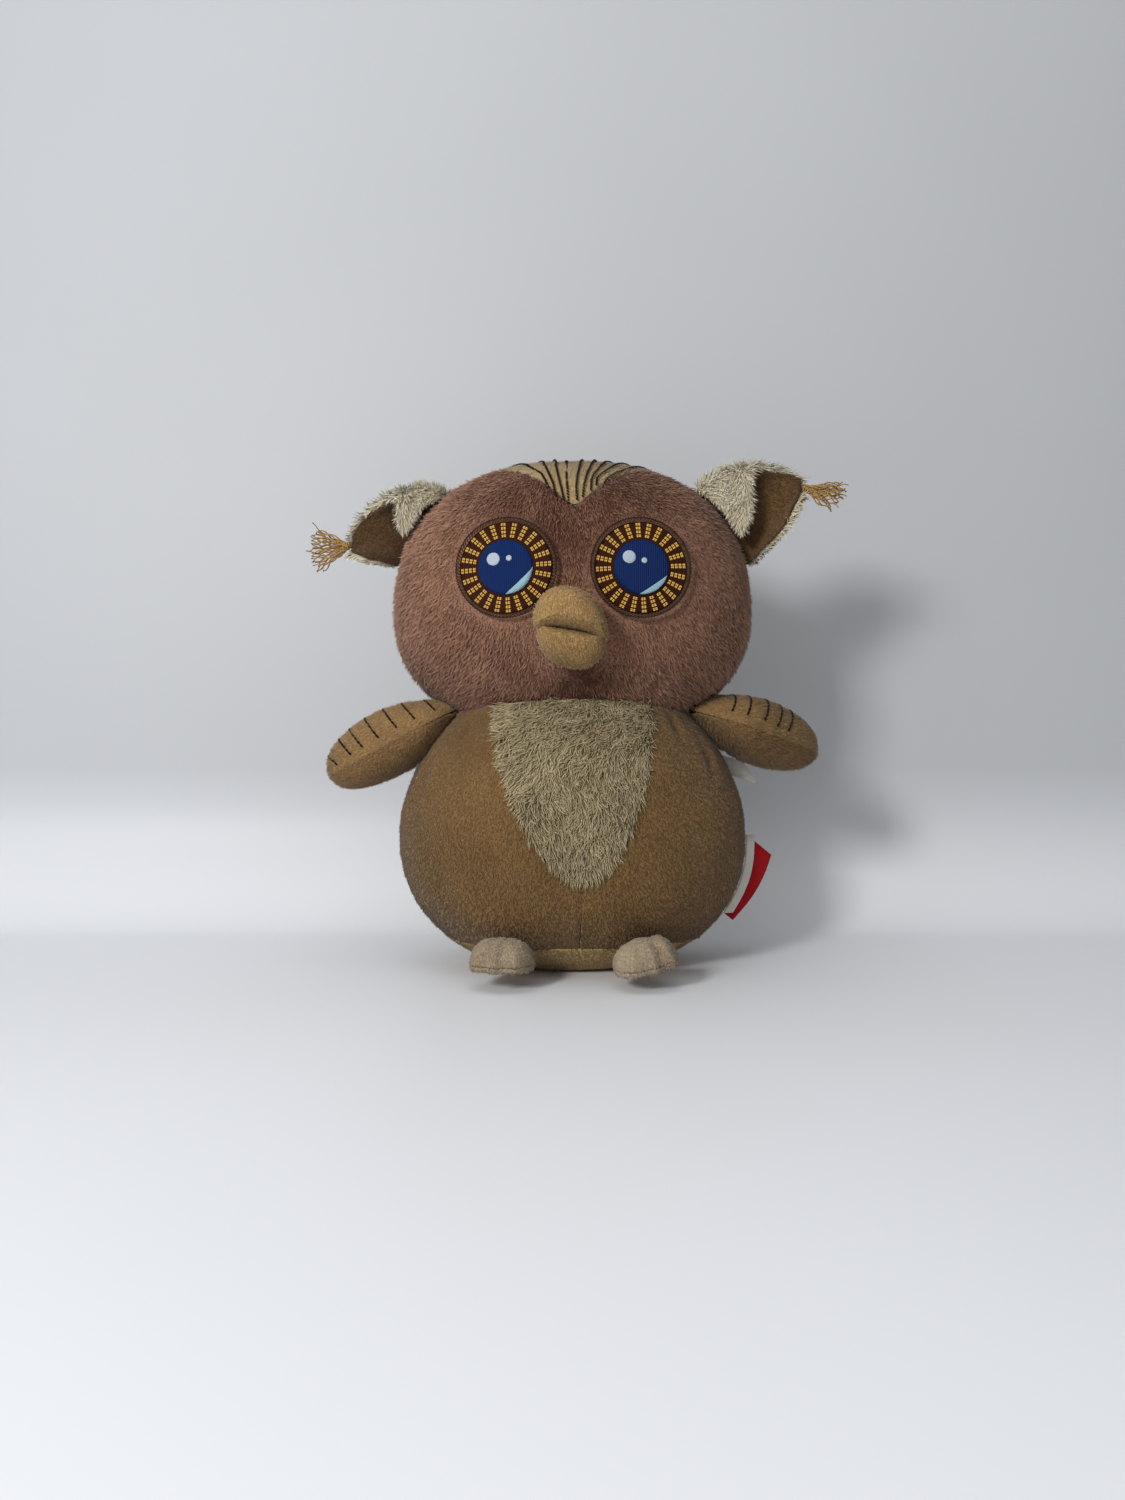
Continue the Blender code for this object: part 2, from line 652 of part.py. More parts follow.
def build_beak(gold):
    """Two lobes that stand out from the face and meet at a slanting crease."""
    level = HEAD_MIDDLE - BEAK_DROP
    lobes = (
        ("upper", 1, BEAK_HALF_WIDTH, BEAK_UPPER_HEIGHT, BEAK_UPPER_PROUD),
        ("lower", -1, BEAK_LOWER_HALF_WIDTH, BEAK_LOWER_HEIGHT, BEAK_LOWER_PROUD),
    )
    for name, side, width, height, proud in lobes:
        outline = beak_outline(side, width, height)
        middle = BEAK_BOW + side * height * BEAK_CENTRE_SHARE

        def spot(across, up, share, out):
            place = HEAD.find_front(BEAK_OFFSET + across * share, level + middle + (up - middle) * share)
            return HEAD.point(*place) - Vector((0, TOUCH + SEAM_GAP + proud * out, 0))

        stages = ((0, BEAK_CENTRE_SHARE),) + BEAK_RING_SHARES
        rings = [[spot(across, up, share, out) for across, up in outline] for out, share in stages]
        points, faces = loft(rings, spot(0, middle, 0, 0), spot(0, middle, 0, 1))
        make(f"beak_{name}", points, faces, gold)


def wing_frame(name, side):
    """A wing's hinge at the neck seam, and its directions out along it, ahead and up."""
    neck = BODY.point(side * (math.pi / 2), BODY_NECK)
    shoulder = BODY.point(side * (math.pi / 2), BODY.latitude(neck.z - WING_SHOULDER_DROP)) - neck
    droop = math.atan2(-shoulder.z, abs(shoulder.x)) - math.radians(WING_LIFT_DEGREES[name])
    sweep = math.radians(WING_SWEEP_DEGREES[name])
    level = Vector((side * math.cos(sweep), math.sin(sweep), 0))
    out = level * math.cos(droop) - Vector((0, 0, math.sin(droop)))
    ahead = Vector((side * math.sin(sweep), -math.cos(sweep), 0))
    hinge = Vector((neck.x + side * WING_HINGE_REACH, -WING_FORWARD, neck.z))
    return hinge, out, ahead, ahead.cross(out) * side


def wing_point(frame, along, forward, up):
    """A point of a wing's own frame in the world."""
    hinge, out, ahead, rise = frame
    return hinge + out * along + ahead * forward + rise * up


def wing_swell(upper, along, radius_share, less):
    """Height of a wing's upper or lower face over its seam's plane."""
    swell = WING_UPPER_SWELL if upper else WING_LOWER_SWELL
    narrowing = WING_UPPER_NARROWING if upper else WING_LOWER_NARROWING
    part = min(1.0, along / (WING_LENGTH * WING_FULL_SHARE))
    near_root = (part * (2 - part)) ** narrowing
    height = max(0.0, swell * near_root - less)
    return height * math.sqrt(max(0.0, 1 - radius_share**WING_CROWN_POWER))


def wing_ring(upper, share, less, lift):
    """A ring of a wing's face in its own frame, with the outline and the face drawn in by less."""
    widest = WING_LENGTH * WING_WIDEST_SHARE
    ring = []
    for angle in spread(0, 2 * math.pi, WING_POINTS)[:-1]:
        reach = (WING_LENGTH - widest if math.cos(angle) > 0 else widest) - less
        along = widest + reach * share * math.cos(angle)
        forward = (WING_HALF_CHORD - less) * share * math.sin(angle)
        height = lift + wing_swell(upper, along, share, less)
        ring.append((along, forward, height if upper else -height))
    return ring


def build_wing(name, side, tan, brown, stuffing):
    """Upper and lower panel of a wing, sewn round the edge, and the stuffing between them."""
    frame = wing_frame(name, side)
    hinge = frame[0]
    root = WING_TAB_LENGTH + TOUCH
    widest = WING_LENGTH * WING_WIDEST_SHARE

    def world(ring):
        return [wing_point(frame, root + along, forward, up) for along, forward, up in ring]

    def centre(upper, less, lift):
        height = lift + wing_swell(upper, widest, 0, less)
        return wing_point(frame, root + widest, 0, height if upper else -height)

    for upper, material in ((True, tan), (False, brown)):
        lift = SEAM_GAP / 2
        outer = [world(wing_ring(upper, share, 0, lift)) for share in WING_RING_SHARES]
        inner = [world(wing_ring(upper, share, FABRIC, lift)) for share in reversed(WING_RING_SHARES)]
        points, faces = loft(outer + inner, centre(upper, 0, lift), centre(upper, FABRIC, lift))
        make(f"wing_{name}_{'upper' if upper else 'lower'}", points, faces, material, hinge)
    depth = FABRIC + STUFFING_GAP
    over = [world(wing_ring(True, share, depth, 0)) for share in WING_RING_SHARES]
    under = [world(wing_ring(False, share, depth, 0)) for share in reversed(WING_RING_SHARES[:-1])]
    points, faces = loft(over + under, centre(True, depth, 0), centre(False, depth, 0))
    make(f"wing_{name}_stuffing", points, faces, stuffing, hinge)
    half = WING_TAB_THICKNESS / 2
    grids = []
    for up in (half, -half):
        grid = []
        for along in (0, WING_TAB_LENGTH):
            ways = (-WING_TAB_HALF_WIDTH, 0, WING_TAB_HALF_WIDTH)
            grid.append([wing_point(frame, along, forward, up) for forward in ways])
        grids.append(grid)
    points, faces = grid_wall(*grids)
    make(f"wing_{name}_tab", points, faces, tan, hinge)


EAR_BACK_LEG = EAR_BACK_LENGTH - EAR_FOLD_RADIUS
EAR_FOLD_LENGTH = math.pi * EAR_FOLD_RADIUS
EAR_RUN = EAR_BACK_LEG + EAR_FOLD_LENGTH + EAR_FRONT_LENGTH - EAR_FOLD_RADIUS


def ear_base(side, share):
    """Point where an ear's leaf meets the head: up its back leg, round the fold and down its front leg."""
    back_leg, fold = EAR_BACK_LEG, EAR_FOLD_LENGTH
    run = share * EAR_RUN
    top = HEAD_MIDDLE + HEAD_RISE - EAR_CROWN_DROP - EAR_FOLD_RADIUS
    if run < back_leg:
        forward, height = 0, top - (back_leg - run)
    elif run < back_leg + fold:
        angle = (run - back_leg) / EAR_FOLD_RADIUS
        forward = EAR_FOLD_RADIUS * (1 - math.cos(angle))
        height = top + EAR_FOLD_RADIUS * math.sin(angle)
    else:
        forward, height = 2 * EAR_FOLD_RADIUS, top - (run - back_leg - fold)
    latitude = HEAD.latitude(height)
    depth = HEAD.half_depth * HEAD.share(latitude) ** HEAD.depth_power
    turn = math.acos(min(1.0, forward / depth) ** (OVAL_POWER / 2))
    clear = EAR_ROOT_GAP + EAR_FRONT_GAP * smooth(forward / (2 * EAR_FOLD_RADIUS))
    return HEAD.point(side * turn, latitude, -clear)


def ear_leaf(name, side, along, across):
    """Middle surface of an ear from head to tip. Across is 0 at its back edge and 1 at its front."""
    part = across * (1 - EAR_OPENING_SHARE * smooth(along / EAR_OPEN_BY_SHARE))
    middle = ear_base(side, EAR_SPINE_SHARE)
    folded = ear_base(side, part) - middle
    flat = Vector((0, 0, (part - EAR_SPINE_SHARE) * EAR_RUN))
    width = max(0.0, 1 - along * along) ** EAR_LEAF_POWER
    offset = folded.lerp(flat, smooth((along - EAR_FLAT_FROM_SHARE) / (1 - EAR_FLAT_FROM_SHARE))) * width
    curl = 4 * along * (1 - along) * max(0.0, 1 - across / EAR_SPINE_SHARE) ** 2
    arch = EAR_ARCH[name] * math.sin(math.pi * along)
    return middle.lerp(ear_tip(name, side), along) + offset + Vector((0, -EAR_CURL * curl, arch))


def ear_tip(name, side):
    """Where the tassel is sewn to an ear."""
    reach = HEAD_HALF_WIDTH + EAR_TIP_REACH[name]
    return Vector((side * reach, -EAR_TIP_FORWARD, HEAD_MIDDLE + HEAD_RISE - EAR_TIP_DROP[name]))


def clear_of_head(spot, gap):
    """The point itself, or one moved out level with it to stand clear of the head by a gap."""
    latitude = HEAD.latitude(spot.z)
    width = HEAD.half_width * HEAD.share(latitude)
    depth = HEAD.half_depth * HEAD.share(latitude) ** HEAD.depth_power
    reach = (abs(spot.x / width) ** OVAL_POWER + abs(spot.y / depth) ** OVAL_POWER) ** (1 / OVAL_POWER)
    least = 1 + gap / width
    grow = max(1.0, least / reach)
    return Vector((spot.x * grow, spot.y * grow, spot.z))


def build_ear(name, side, cream, brown):
    """Outer and inner leaf of an ear, back to back."""
    alongs = spread(0, EAR_TIP_SHARE, EAR_ROWS)
    acrosses = spread(0, 1, EAR_COLUMNS)
    hinge = ear_base(side, EAR_SPINE_SHARE)
    origin = Vector((hinge.x, SEAM_GAP / 2 + EAR_FABRIC, hinge.z))
    step = LEAF_STEP_SHARE

    def out_of_leaf(along, across):
        near, far = max(0, across - step), min(1, across + step)
        at = max(along, step)
        go = ear_leaf(name, side, at + step, across) - ear_leaf(name, side, at - step, across)
        over = ear_leaf(name, side, at, far) - ear_leaf(name, side, at, near)
        return go.cross(over).normalized() * -side

    normals = [[out_of_leaf(along, across) for across in acrosses] for along in alongs]

    def layer(depth):
        rows = []
        for along, line in zip(alongs, normals):
            gap = EAR_ROOT_GAP + depth - least_depth
            row = []
            for across, out in zip(acrosses, line):
                row.append(clear_of_head(ear_leaf(name, side, along, across) + out * depth, gap))
            rows.append(row)
        return rows

    near = EAR_LAYER_GAP / 2
    least_depth = -near - EAR_FABRIC
    points, faces = grid_wall(layer(near + EAR_FABRIC), layer(near))
    make(f"ear_{name}_outer", points, faces, cream, origin)
    points, faces = grid_wall(layer(-near), layer(-near - EAR_FABRIC))
    make(f"ear_{name}_inner", points, faces, brown, origin)


def build_tassel(name, side, straw):
    """A fan of straw-coloured strands at an ear's tip, as one ridged body."""
    droop = math.radians(TASSEL_DROP_DEGREES[name])
    out = Vector((side * math.cos(droop), 0, -math.sin(droop)))
    rise = Vector((side * math.sin(droop), 0, math.cos(droop)))
    tip = ear_leaf(name, side, EAR_TIP_SHARE, EAR_SPINE_SHARE / (1 - EAR_OPENING_SHARE))
    rings = []
    length = TASSEL_LENGTH[name]
    for share in TASSEL_RING_SHARES:
        width = TASSEL_ROOT_HALF_WIDTH + (TASSEL_END_HALF_WIDTH - TASSEL_ROOT_HALF_WIDTH) * share
        thick = TASSEL_ROOT_HALF_THICKNESS
        thick += (TASSEL_END_HALF_THICKNESS - TASSEL_ROOT_HALF_THICKNESS) * share
        ring = []
        for angle in spread(0, 2 * math.pi, 4 * TASSEL_RIDGES)[:-1]:
            ridge = 1 + TASSEL_RIDGE_SHARE * share * math.cos(2 * TASSEL_RIDGES * angle)
            spot = tip + out * (TASSEL_GAP + length * share) + rise * width * ridge * math.cos(angle)
            ring.append(spot + Vector((0, thick * ridge * math.sin(angle), 0)))
        rings.append(ring)
    points, faces = loft(rings, tip + out * TASSEL_GAP, tip + out * (TASSEL_GAP + length))
    make(f"tassel_{name}", points, faces, straw, tip)


def foot_frame(name, side):
    """A foot's root on the base seam, and its directions forward, across and up."""
    latitude = BODY.latitude(BASE_SEAM_HEIGHT)
    turn = BODY.turn_at(latitude, side * FOOT_ROOT_SPREAD)
    root = BODY.point(turn, latitude, -TOUCH)
    splay = math.radians(FOOT_SPLAY_DEGREES) * side
    roll = math.radians(FOOT_ROLL_DEGREES[name])
    forward = Vector((math.sin(splay), -math.cos(splay), 0))
    flat = Vector((math.cos(splay), math.sin(splay), 0))
    across = flat * math.cos(roll) + Vector((0, 0, -math.sin(roll)))
    up = flat * math.sin(roll) + Vector((0, 0, math.cos(roll)))
    return root, forward, across, up


def toe_groove(across):
    """1 in the groove between two toes, and 0 on the middle of a toe."""
    return math.sin(math.pi * FOOT_TOES * across / (2 * FOOT_HALF_WIDTH)) ** 2


def foot_outline(angle):
    """Across and along of a foot's outline: narrow at the root, with a scallop for each toe."""
    along_share = (1 + math.cos(angle)) / 2
    widening = (1 - FOOT_ROOT_WIDTH_SHARE) * smooth(along_share / FOOT_WIDE_BY_SHARE)
    width = FOOT_HALF_WIDTH * (FOOT_ROOT_WIDTH_SHARE + widening)
    across = width * signed_power(math.sin(angle), FOOT_SQUARE_POWER)
    length = FOOT_LENGTH * (1 - FOOT_GROOVE_SHARE / 2 * toe_groove(across) * along_share)
    return across, length * (1 + signed_power(math.cos(angle), FOOT_SQUARE_POWER)) / 2


def build_foot(name, side, cream):
    """The stuffed top of a foot with its toes, and the sole under it."""
    root, forward, across_way, up = foot_frame(name, side)
    angles = spread(0, 2 * math.pi, FOOT_POINTS)[:-1]
    outline = [foot_outline(angle) for angle in angles]
    middle = FOOT_LENGTH / 2
    floor = -FOOT_DROP + FOOT_SOLE + TOUCH

    def spot(across, along, rise):
        pinch = 1 - smooth(along / FOOT_PINCH_RUN)
        return root + forward * along + across_way * across + up * (rise - floor * pinch)

    def ring(share, rise_of=None, rise=0.0):
        points = []
        for across, along in outline:
            across_at, along_at = across * share, middle + (along - middle) * share
            height = rise_of(across_at, along_at, share) if rise_of else rise
            points.append(spot(across_at, along_at, height))
        return points

    def top(across, along, share):
        fullness = smooth(along / FOOT_LENGTH / FOOT_FULL_BY_SHARE) ** FOOT_SQUARE_POWER
        fullness = FOOT_ROOT_HEIGHT_SHARE + (1 - FOOT_ROOT_HEIGHT_SHARE) * fullness
        height = (FOOT_RISE + FOOT_DROP - FOOT_SOLE) * fullness
        height *= 1 - FOOT_GROOVE_SHARE * toe_groove(across) * smooth(along / FOOT_LENGTH)
        return floor + height * math.sqrt(max(0.0, 1 - share**FOOT_CROWN_POWER))

    rings = [ring(share, rise=floor) for share in FOOT_FLAT_SHARES]
    rings += [ring(share, top) for share in reversed(FOOT_RING_SHARES)]
    points, faces = loft(rings, spot(0, middle, floor), spot(0, middle, top(0, middle, 0)))
    make(f"foot_{name}_top", points, faces, cream, root)
    rings = [ring(share, rise=floor - TOUCH) for share in FOOT_FLAT_SHARES]
    rings += [ring(share, rise=-FOOT_DROP) for share in SOLE_BOTTOM_SHARES]
    points, faces = loft(rings, spot(0, middle, floor - TOUCH), spot(0, middle, -FOOT_DROP))
    make(f"foot_{name}_sole", points, faces, cream, root)


def label_grid(top, bottom, reaches, slides, drop, back, layer):
    """Grid of a label from the left side seam outwards, whose outer edge slides along the seam and drops."""
    rows = []
    for level in spread(0, 1, LABEL_ROWS):
        reach = reaches[0] + (reaches[1] - reaches[0]) * level
        slide = slides[0] + (slides[1] - slides[0]) * level
        row = []
        for share in spread(0, 1, LABEL_COLUMNS):
            latitude = BODY.latitude(bottom + (top - bottom) * level - slide * share)
            turn = seam_turn(latitude)
            seam = BODY.point(turn, latitude, -LABEL_SEAM_GAP)
            out = BODY.normal(turn, latitude)
            out.z = 0
            out.normalize()
            behind = Vector((-out.y, out.x, 0))
            way = out * math.cos(back) + behind * math.sin(back)
            sag = Vector((0, 0, drop * share))
            row.append(seam + way * reach * share + behind * (layer / math.cos(back)) - sag)
        rows.append(row)
    return rows


def seam_turn(latitude):
    """Turn of the left side seam at a latitude."""
    line = side_seam(1)
    for (turn, low), (next_turn, high) in zip(line, line[1:]):
        if latitude <= high:
            return turn + (next_turn - turn) * (latitude - low) / (high - low)
    return line[-1][0]


def build_label(name, top, bottom, reaches, slides, drop, back_degrees, layer, material, origin):
    """A strip of bare woven cloth out of the side seam, with its low and high reach and slide."""
    back = math.radians(back_degrees)
    near = label_grid(top, bottom, reaches, slides, drop, back, layer)
    far = label_grid(top, bottom, reaches, slides, drop, back, layer + LABEL_THICKNESS)
    points, faces = grid_wall(near, far)
    make(name, points, faces, material, origin)


def build_labels(white, red):
    """A folded white and red label low on the left side, and a care label behind the left wing."""
    middle = BODY.latitude((SIDE_LABEL_TOP + SIDE_LABEL_BOTTOM) / 2)
    origin = BODY.point(seam_turn(middle), middle, -LABEL_SEAM_GAP)
    layer = LABEL_THICKNESS + TOUCH
    back = SIDE_LABEL_BACK_DEGREES
    reaches = (SIDE_LABEL_WHITE_REACH, SIDE_LABEL_WHITE_REACH)
    sizes = (SIDE_LABEL_TOP, SIDE_LABEL_BOTTOM, reaches, (0, 0), 0, back)
    build_label("side_label_white", *sizes, 0, white, origin)
    reaches = (SIDE_LABEL_RED_LOW_REACH, SIDE_LABEL_RED_REACH)
    slides = (SIDE_LABEL_RED_LOW_SLIDE, SIDE_LABEL_RED_SLIDE)
    sizes = (SIDE_LABEL_TOP, SIDE_LABEL_BOTTOM, reaches, slides, 0, back)
    build_label("side_label_red", *sizes, layer, red, origin)
    middle = BODY.latitude((CARE_LABEL_TOP + CARE_LABEL_BOTTOM) / 2)
    origin = BODY.point(seam_turn(middle), middle, -LABEL_SEAM_GAP)
    reaches = (CARE_LABEL_REACH, CARE_LABEL_REACH)
    back = CARE_LABEL_BACK_DEGREES
    sizes = (CARE_LABEL_TOP, CARE_LABEL_BOTTOM, reaches, (0, 0), CARE_LABEL_DROP, back)
    build_label("care_label", *sizes, 0, white, origin)


def main():
    """Clears the file and builds the owl."""
    for piece in list(bpy.data.objects):
        bpy.data.objects.remove(piece)
    mauve = fabric("mauve_pile", (0.195, 0.080, 0.065))
    brown = fabric("brown_pile", (0.205, 0.112, 0.040))
    tan = fabric("tan_pile", (0.352, 0.235, 0.089))
    cream = fabric("cream_long_pile", (0.480, 0.400, 0.275))
    dark = fabric("ear_lining_pile", (0.107, 0.056, 0.018))
    gold = fabric("beak_pile", (0.352, 0.254, 0.080))
    iris = fabric("eye_embroidery", (0.069, 0.018, 0.006), 0.6)
    cord = fabric("eye_cord", (0.050, 0.035, 0.025), 0.7)
    blue = fabric("pupil_embroidery", (0.010, 0.042, 0.216), 0.5)
    straw = fabric("tassel_yarn", (0.527, 0.323, 0.122), 0.8)
    white = fabric("white_tape", (0.68, 0.68, 0.62), 0.7)
    red = fabric("red_tape", (0.53, 0.006, 0.014), 0.6)
    stuffing = fabric("stuffing_fibre", (0.75, 0.75, 0.72))
    build_body(brown, cream, tan, stuffing)
    build_head(mauve, tan)
    build_beak(gold)
    for name, side in SIDES.items():
        build_eye(name, side, iris, cord, blue)
        build_wing(name, side, tan, brown, stuffing)
        build_ear(name, side, cream, dark)
        build_tassel(name, side, straw)
        build_foot(name, side, cream)
    build_labels(white, red)


main()
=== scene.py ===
"""Looks of the plush owl over the packed model: pile cloths, embroidery, yarn, labels and the stage."""
import json
import math

import bmesh
import bpy
import numpy as np
from mathutils import Matrix, Vector, noise
from mathutils.bvhtree import BVHTree
from mathutils.kdtree import KDTree


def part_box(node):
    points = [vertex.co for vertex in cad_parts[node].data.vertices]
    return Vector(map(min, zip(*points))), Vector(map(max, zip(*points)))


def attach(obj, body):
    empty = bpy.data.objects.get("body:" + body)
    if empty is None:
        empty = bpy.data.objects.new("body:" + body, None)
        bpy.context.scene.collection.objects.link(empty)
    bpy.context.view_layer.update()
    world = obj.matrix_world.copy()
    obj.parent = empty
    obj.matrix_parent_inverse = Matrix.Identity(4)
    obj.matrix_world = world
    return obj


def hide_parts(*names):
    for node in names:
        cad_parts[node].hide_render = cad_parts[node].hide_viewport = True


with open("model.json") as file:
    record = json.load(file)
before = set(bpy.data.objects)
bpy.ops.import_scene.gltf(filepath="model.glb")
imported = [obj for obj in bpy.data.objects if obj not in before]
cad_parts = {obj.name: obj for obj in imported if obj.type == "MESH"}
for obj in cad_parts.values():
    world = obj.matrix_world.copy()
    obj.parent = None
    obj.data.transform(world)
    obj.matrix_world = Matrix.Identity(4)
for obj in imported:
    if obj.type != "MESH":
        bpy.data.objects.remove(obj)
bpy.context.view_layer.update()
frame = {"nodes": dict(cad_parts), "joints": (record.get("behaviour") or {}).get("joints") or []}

bl_info = {
    "name": "Plush Owl",
    "version": (1, 0, 0),
    "blender": (4, 5, 0),
    "location": "View3D > Sidebar > Plush Owl",
    "description": "Dresses the packed plush owl in pile cloth, embroidery and yarn",
    "category": "Object",
}

IMAGE_WIDTH, IMAGE_HEIGHT = 1125, 1500
FOCAL_PIXELS = 1250
HORIZON_PIXEL = 717
EYE_POINT = Vector((-0.0045, -0.566, 0.1114))
SENSOR = 36
MIDDLE_HEIGHT = 0.11
WELD = 0.00001
SEAM_REACH = 0.0012
MEETING_REACH = 0.0035
JOIN_PULL, SEAM_PULL = 0.9, 0.5
SLACK_STEP = 0.026
FOLD_MARKS = 24
SQUARE_MILLIMETRES = 1000000
EYE_CLEARING, BEAK_CLEARING = 0.0205, 0.016
TASSEL_STRANDS, TASSEL_STEPS, TASSEL_SEED = 27, 14, 7
KNOT_TURNS, KNOT_STEPS, KNOT_RADIUS = 3.2, 60, 0.00155
WING_DROOP = {"right": 28, "left": 18}
WING_SWEEP = {"right": 0, "left": 14}
SIDES = {"right": -1, "left": 1}

# Pixels of the photograph, from the forehead's point up to the crown.
CROWN_LINES = (
    ((549, 490), (545, 482), (541, 475), (533, 470)), ((555.5, 498), (553, 486), (551, 478), (546, 470)),
    ((564, 502), (561, 490), (559, 478), (556, 469)), ((570.5, 503), (568, 490), (567, 478), (567, 467)),
    ((577, 502), (576, 488), (577.5, 476), (580, 467)),
    ((582.5, 499), (584, 486), (587, 475), (591, 467)),
    ((591, 492), (591, 482), (594, 475), (600, 469)), ((596, 487), (597, 479), (603, 474), (611, 469)),
    ((603, 485), (608, 479), (617, 474), (629, 470)),
)
# Folds: pixels along each, its depth and its half width.
HEAD_FOLDS = (
    (((486, 478), (478, 493), (468, 510), (462, 530)), 0.0012, 0.0022),
    (((566, 704), (567, 694), (569, 684)), 0.0014, 0.0028),
    (((500, 701), (494, 690), (490, 678)), 0.0010, 0.0026),
    (((534, 704), (532, 694), (529, 685)), 0.0009, 0.0026),
    (((604, 704), (609, 692), (612, 684)), 0.0009, 0.0026),
    (((646, 700), (656, 688), (664, 676)), 0.0011, 0.0028),
)
BODY_FOLDS = (
    (((447, 737), (436, 752), (424, 776), (414, 806)), 0.0016, 0.0032),
    (((478, 712), (470, 722), (462, 738)), 0.0010, 0.0026),
    (((668, 712), (676, 724), (682, 740)), 0.0010, 0.0026),
    (((700, 742), (708, 756), (714, 776)), 0.0013, 0.0030),
)
WING_LINES = {
    "right": (
        (428, 707), (408, 714), (391, 722.5), (373.5, 733), (359, 745), (347.5, 753.5), (335.5, 768.5)),
    "left": ((734, 711.5), (752.4, 704.5), (769.3, 714), (783.5, 723), (795, 732)),
}
GLINTS = {"right": ((493.2, 559.1), (508.8, 558.0)), "left": ((629.3, 556.7), (644.4, 560.3))}
SHINE_CHORDS = {"right": ((529.3, 566), (505, 593)), "left": ((663.3, 574), (639.4, 592))}
SHINE_STEPS = 18
LABEL_TURNS = {"side_label": -15, "care_label": -5}
EAR_BOW_SHARES = (0.0, 0.15, 0.58, 0.79, 0.91, 1.0)
EAR_BOW_LIFTS = (-0.0020, 0.0, 0.0042, 0.0057, 0.0055, 0.0)
BODY_PANELS = ["body_front_right", "body_front_left", "body_back_right", "body_back_left"]
HEAD_PANELS = ["head_face", "head_back"]
TASSEL_ENDS = {
    "right": ((314, 527), (306, 550), (317, 574)),
    "left": ((846, 482), (849, 496), (832, 512)),
}


def linear(code):
    """A colour written as six hex digits, as linear light."""
    parts = [int(code[at:at + 2], 16) / 255 for at in (0, 2, 4)]
    return tuple(v / 12.92 if v <= 0.04045 else ((v + 0.055) / 1.055) ** 2.4 for v in parts)


# ---------------------------------------------------------------- settings

def colour(title, code):
    """A colour setting."""
    return bpy.props.FloatVectorProperty(
        name=title, description=f"{title} of this cloth or thread", subtype="COLOR", size=3,
        min=0, max=1, default=linear(code))


def number(title, note, value, **more):
    """A number setting."""
    return bpy.props.FloatProperty(name=title, description=note, default=value, **more)


def length(title, metres):
    """A length setting."""
    return number(title, f"{title}, in metres", metres, unit="LENGTH", precision=5)


def pile_settings(title, dark, light, long, wide, density, lean, rows):
    """A group of settings for one kind of pile cloth."""
    fields = {
        "dark": colour("Root colour", dark),
        "light": colour("Tip colour", light),
        "long": length("Tuft length", long),
        "wide": length("Tuft width", wide),
        "density": number("Density", "Tufts on each square millimetre", density, min=0),
        "lean": number("Lean", "Angle of the tufts from upright", math.radians(lean), subtype="ANGLE"),
        "rows": bpy.props.IntProperty(
            name="Rows", description="Faces along each tuft", default=rows, min=1, max=6),
    }
    base = (bpy.types.PropertyGroup,)
    return type(f"OWL_PG_{title}", base, {"__annotations__": fields, "__doc__": f"Pile of the {title}."})


PILES = {
    "head": pile_settings("head", "523124", "be9074", 0.0030, 0.00066, 1.7, 64, 2),
    "crown": pile_settings("crown", "826b44", "ccb084", 0.0012, 0.00050, 1.8, 62, 1),
    "body": pile_settings("body", "5d4629", "8f6d42", 0.0012, 0.00046, 1.8, 64, 1),
    "base": pile_settings("base", "8c7044", "d2ae70", 0.0011, 0.00050, 1.6, 66, 1),
    "bib": pile_settings("bib", "685a3e", "cebd97", 0.0050, 0.00076, 3.0, 60, 3),
    "ear": pile_settings("ear", "b2a382", "f6edd4", 0.0040, 0.00070, 3.0, 62, 3),
    "lining": pile_settings("lining", "3d2a18", "80603c", 0.0013, 0.00052, 2.0, 64, 1),
    "beak": pile_settings("beak", "806338", "d2ac74", 0.0014, 0.00050, 2.8, 58, 1),
    "foot": pile_settings("foot", "84705a", "ccbb9f", 0.0013, 0.00050, 2.8, 58, 1),
    "wing_top": pile_settings("wing_top", "735939", "b6925f", 0.0015, 0.00056, 2.4, 60, 1),
    "wing_under": pile_settings("wing_under", "5c452c", "a58155", 0.0017, 0.00056, 2.4, 58, 1),
}


class OWL_PG_threads(bpy.types.PropertyGroup):
    """Colours of the embroidery, yarn, labels and filling."""

    iris: colour("Iris", "3f1b0d")
    gold: colour("Gold thread", "f2c25c")
    pupil: colour("Pupil", "08285f")
    glint: colour("Glint", "ccd8e4")
    shine: colour("Light blue edge", "a4cbd8")
    rim: colour("Eye rim", "33200f")
    cord: colour("Eye cord", "523a28")
    line: colour("Dark stitches", "1d0f04")
    yarn: colour("Tassel yarn", "c39a5e")
    white: colour("White label", "d9d6cc")
    red: colour("Red label", "a91820")
    fibre: colour("Filling", "d8d8d2")
    pouch: colour("Pellet pouch", "bdbdb6")
    # Dark brown of the seam between head and body, dark as painted shadow in its crease; the filling
    # there takes it too.
    neck: colour("Neck thread", "3b2a1c")


class OWL_PG_stage(bpy.types.PropertyGroup):
    """The floor and the lamps."""

    floor: colour("Paper on the floor", "edeff3")
    # Darker than the floor: painted shade on the paper behind the owl.
    wall: colour("Paper behind", "c1c3c6")
    lamp: number("Main lamp", "Power of the soft lamp from the left front", 7.9, unit="POWER")
    top: number("Top lamp", "Power of the wide lamp overhead", 2.2, unit="POWER")
    world: number("Surroundings", "Strength of the even light from all round", 0.32)


# ---------------------------------------------------------------- material maths

def feed(tree, socket, part):
    """Links a value or a socket to a socket, or sets the socket to a plain value or colour."""
    if isinstance(part, (Value, bpy.types.NodeSocket)):
        tree.links.new(getattr(part, "socket", part), socket)
    elif socket.type == "RGBA" and len(part) == 3:
        socket.default_value = (*part, 1)
    else:
        socket.default_value = part


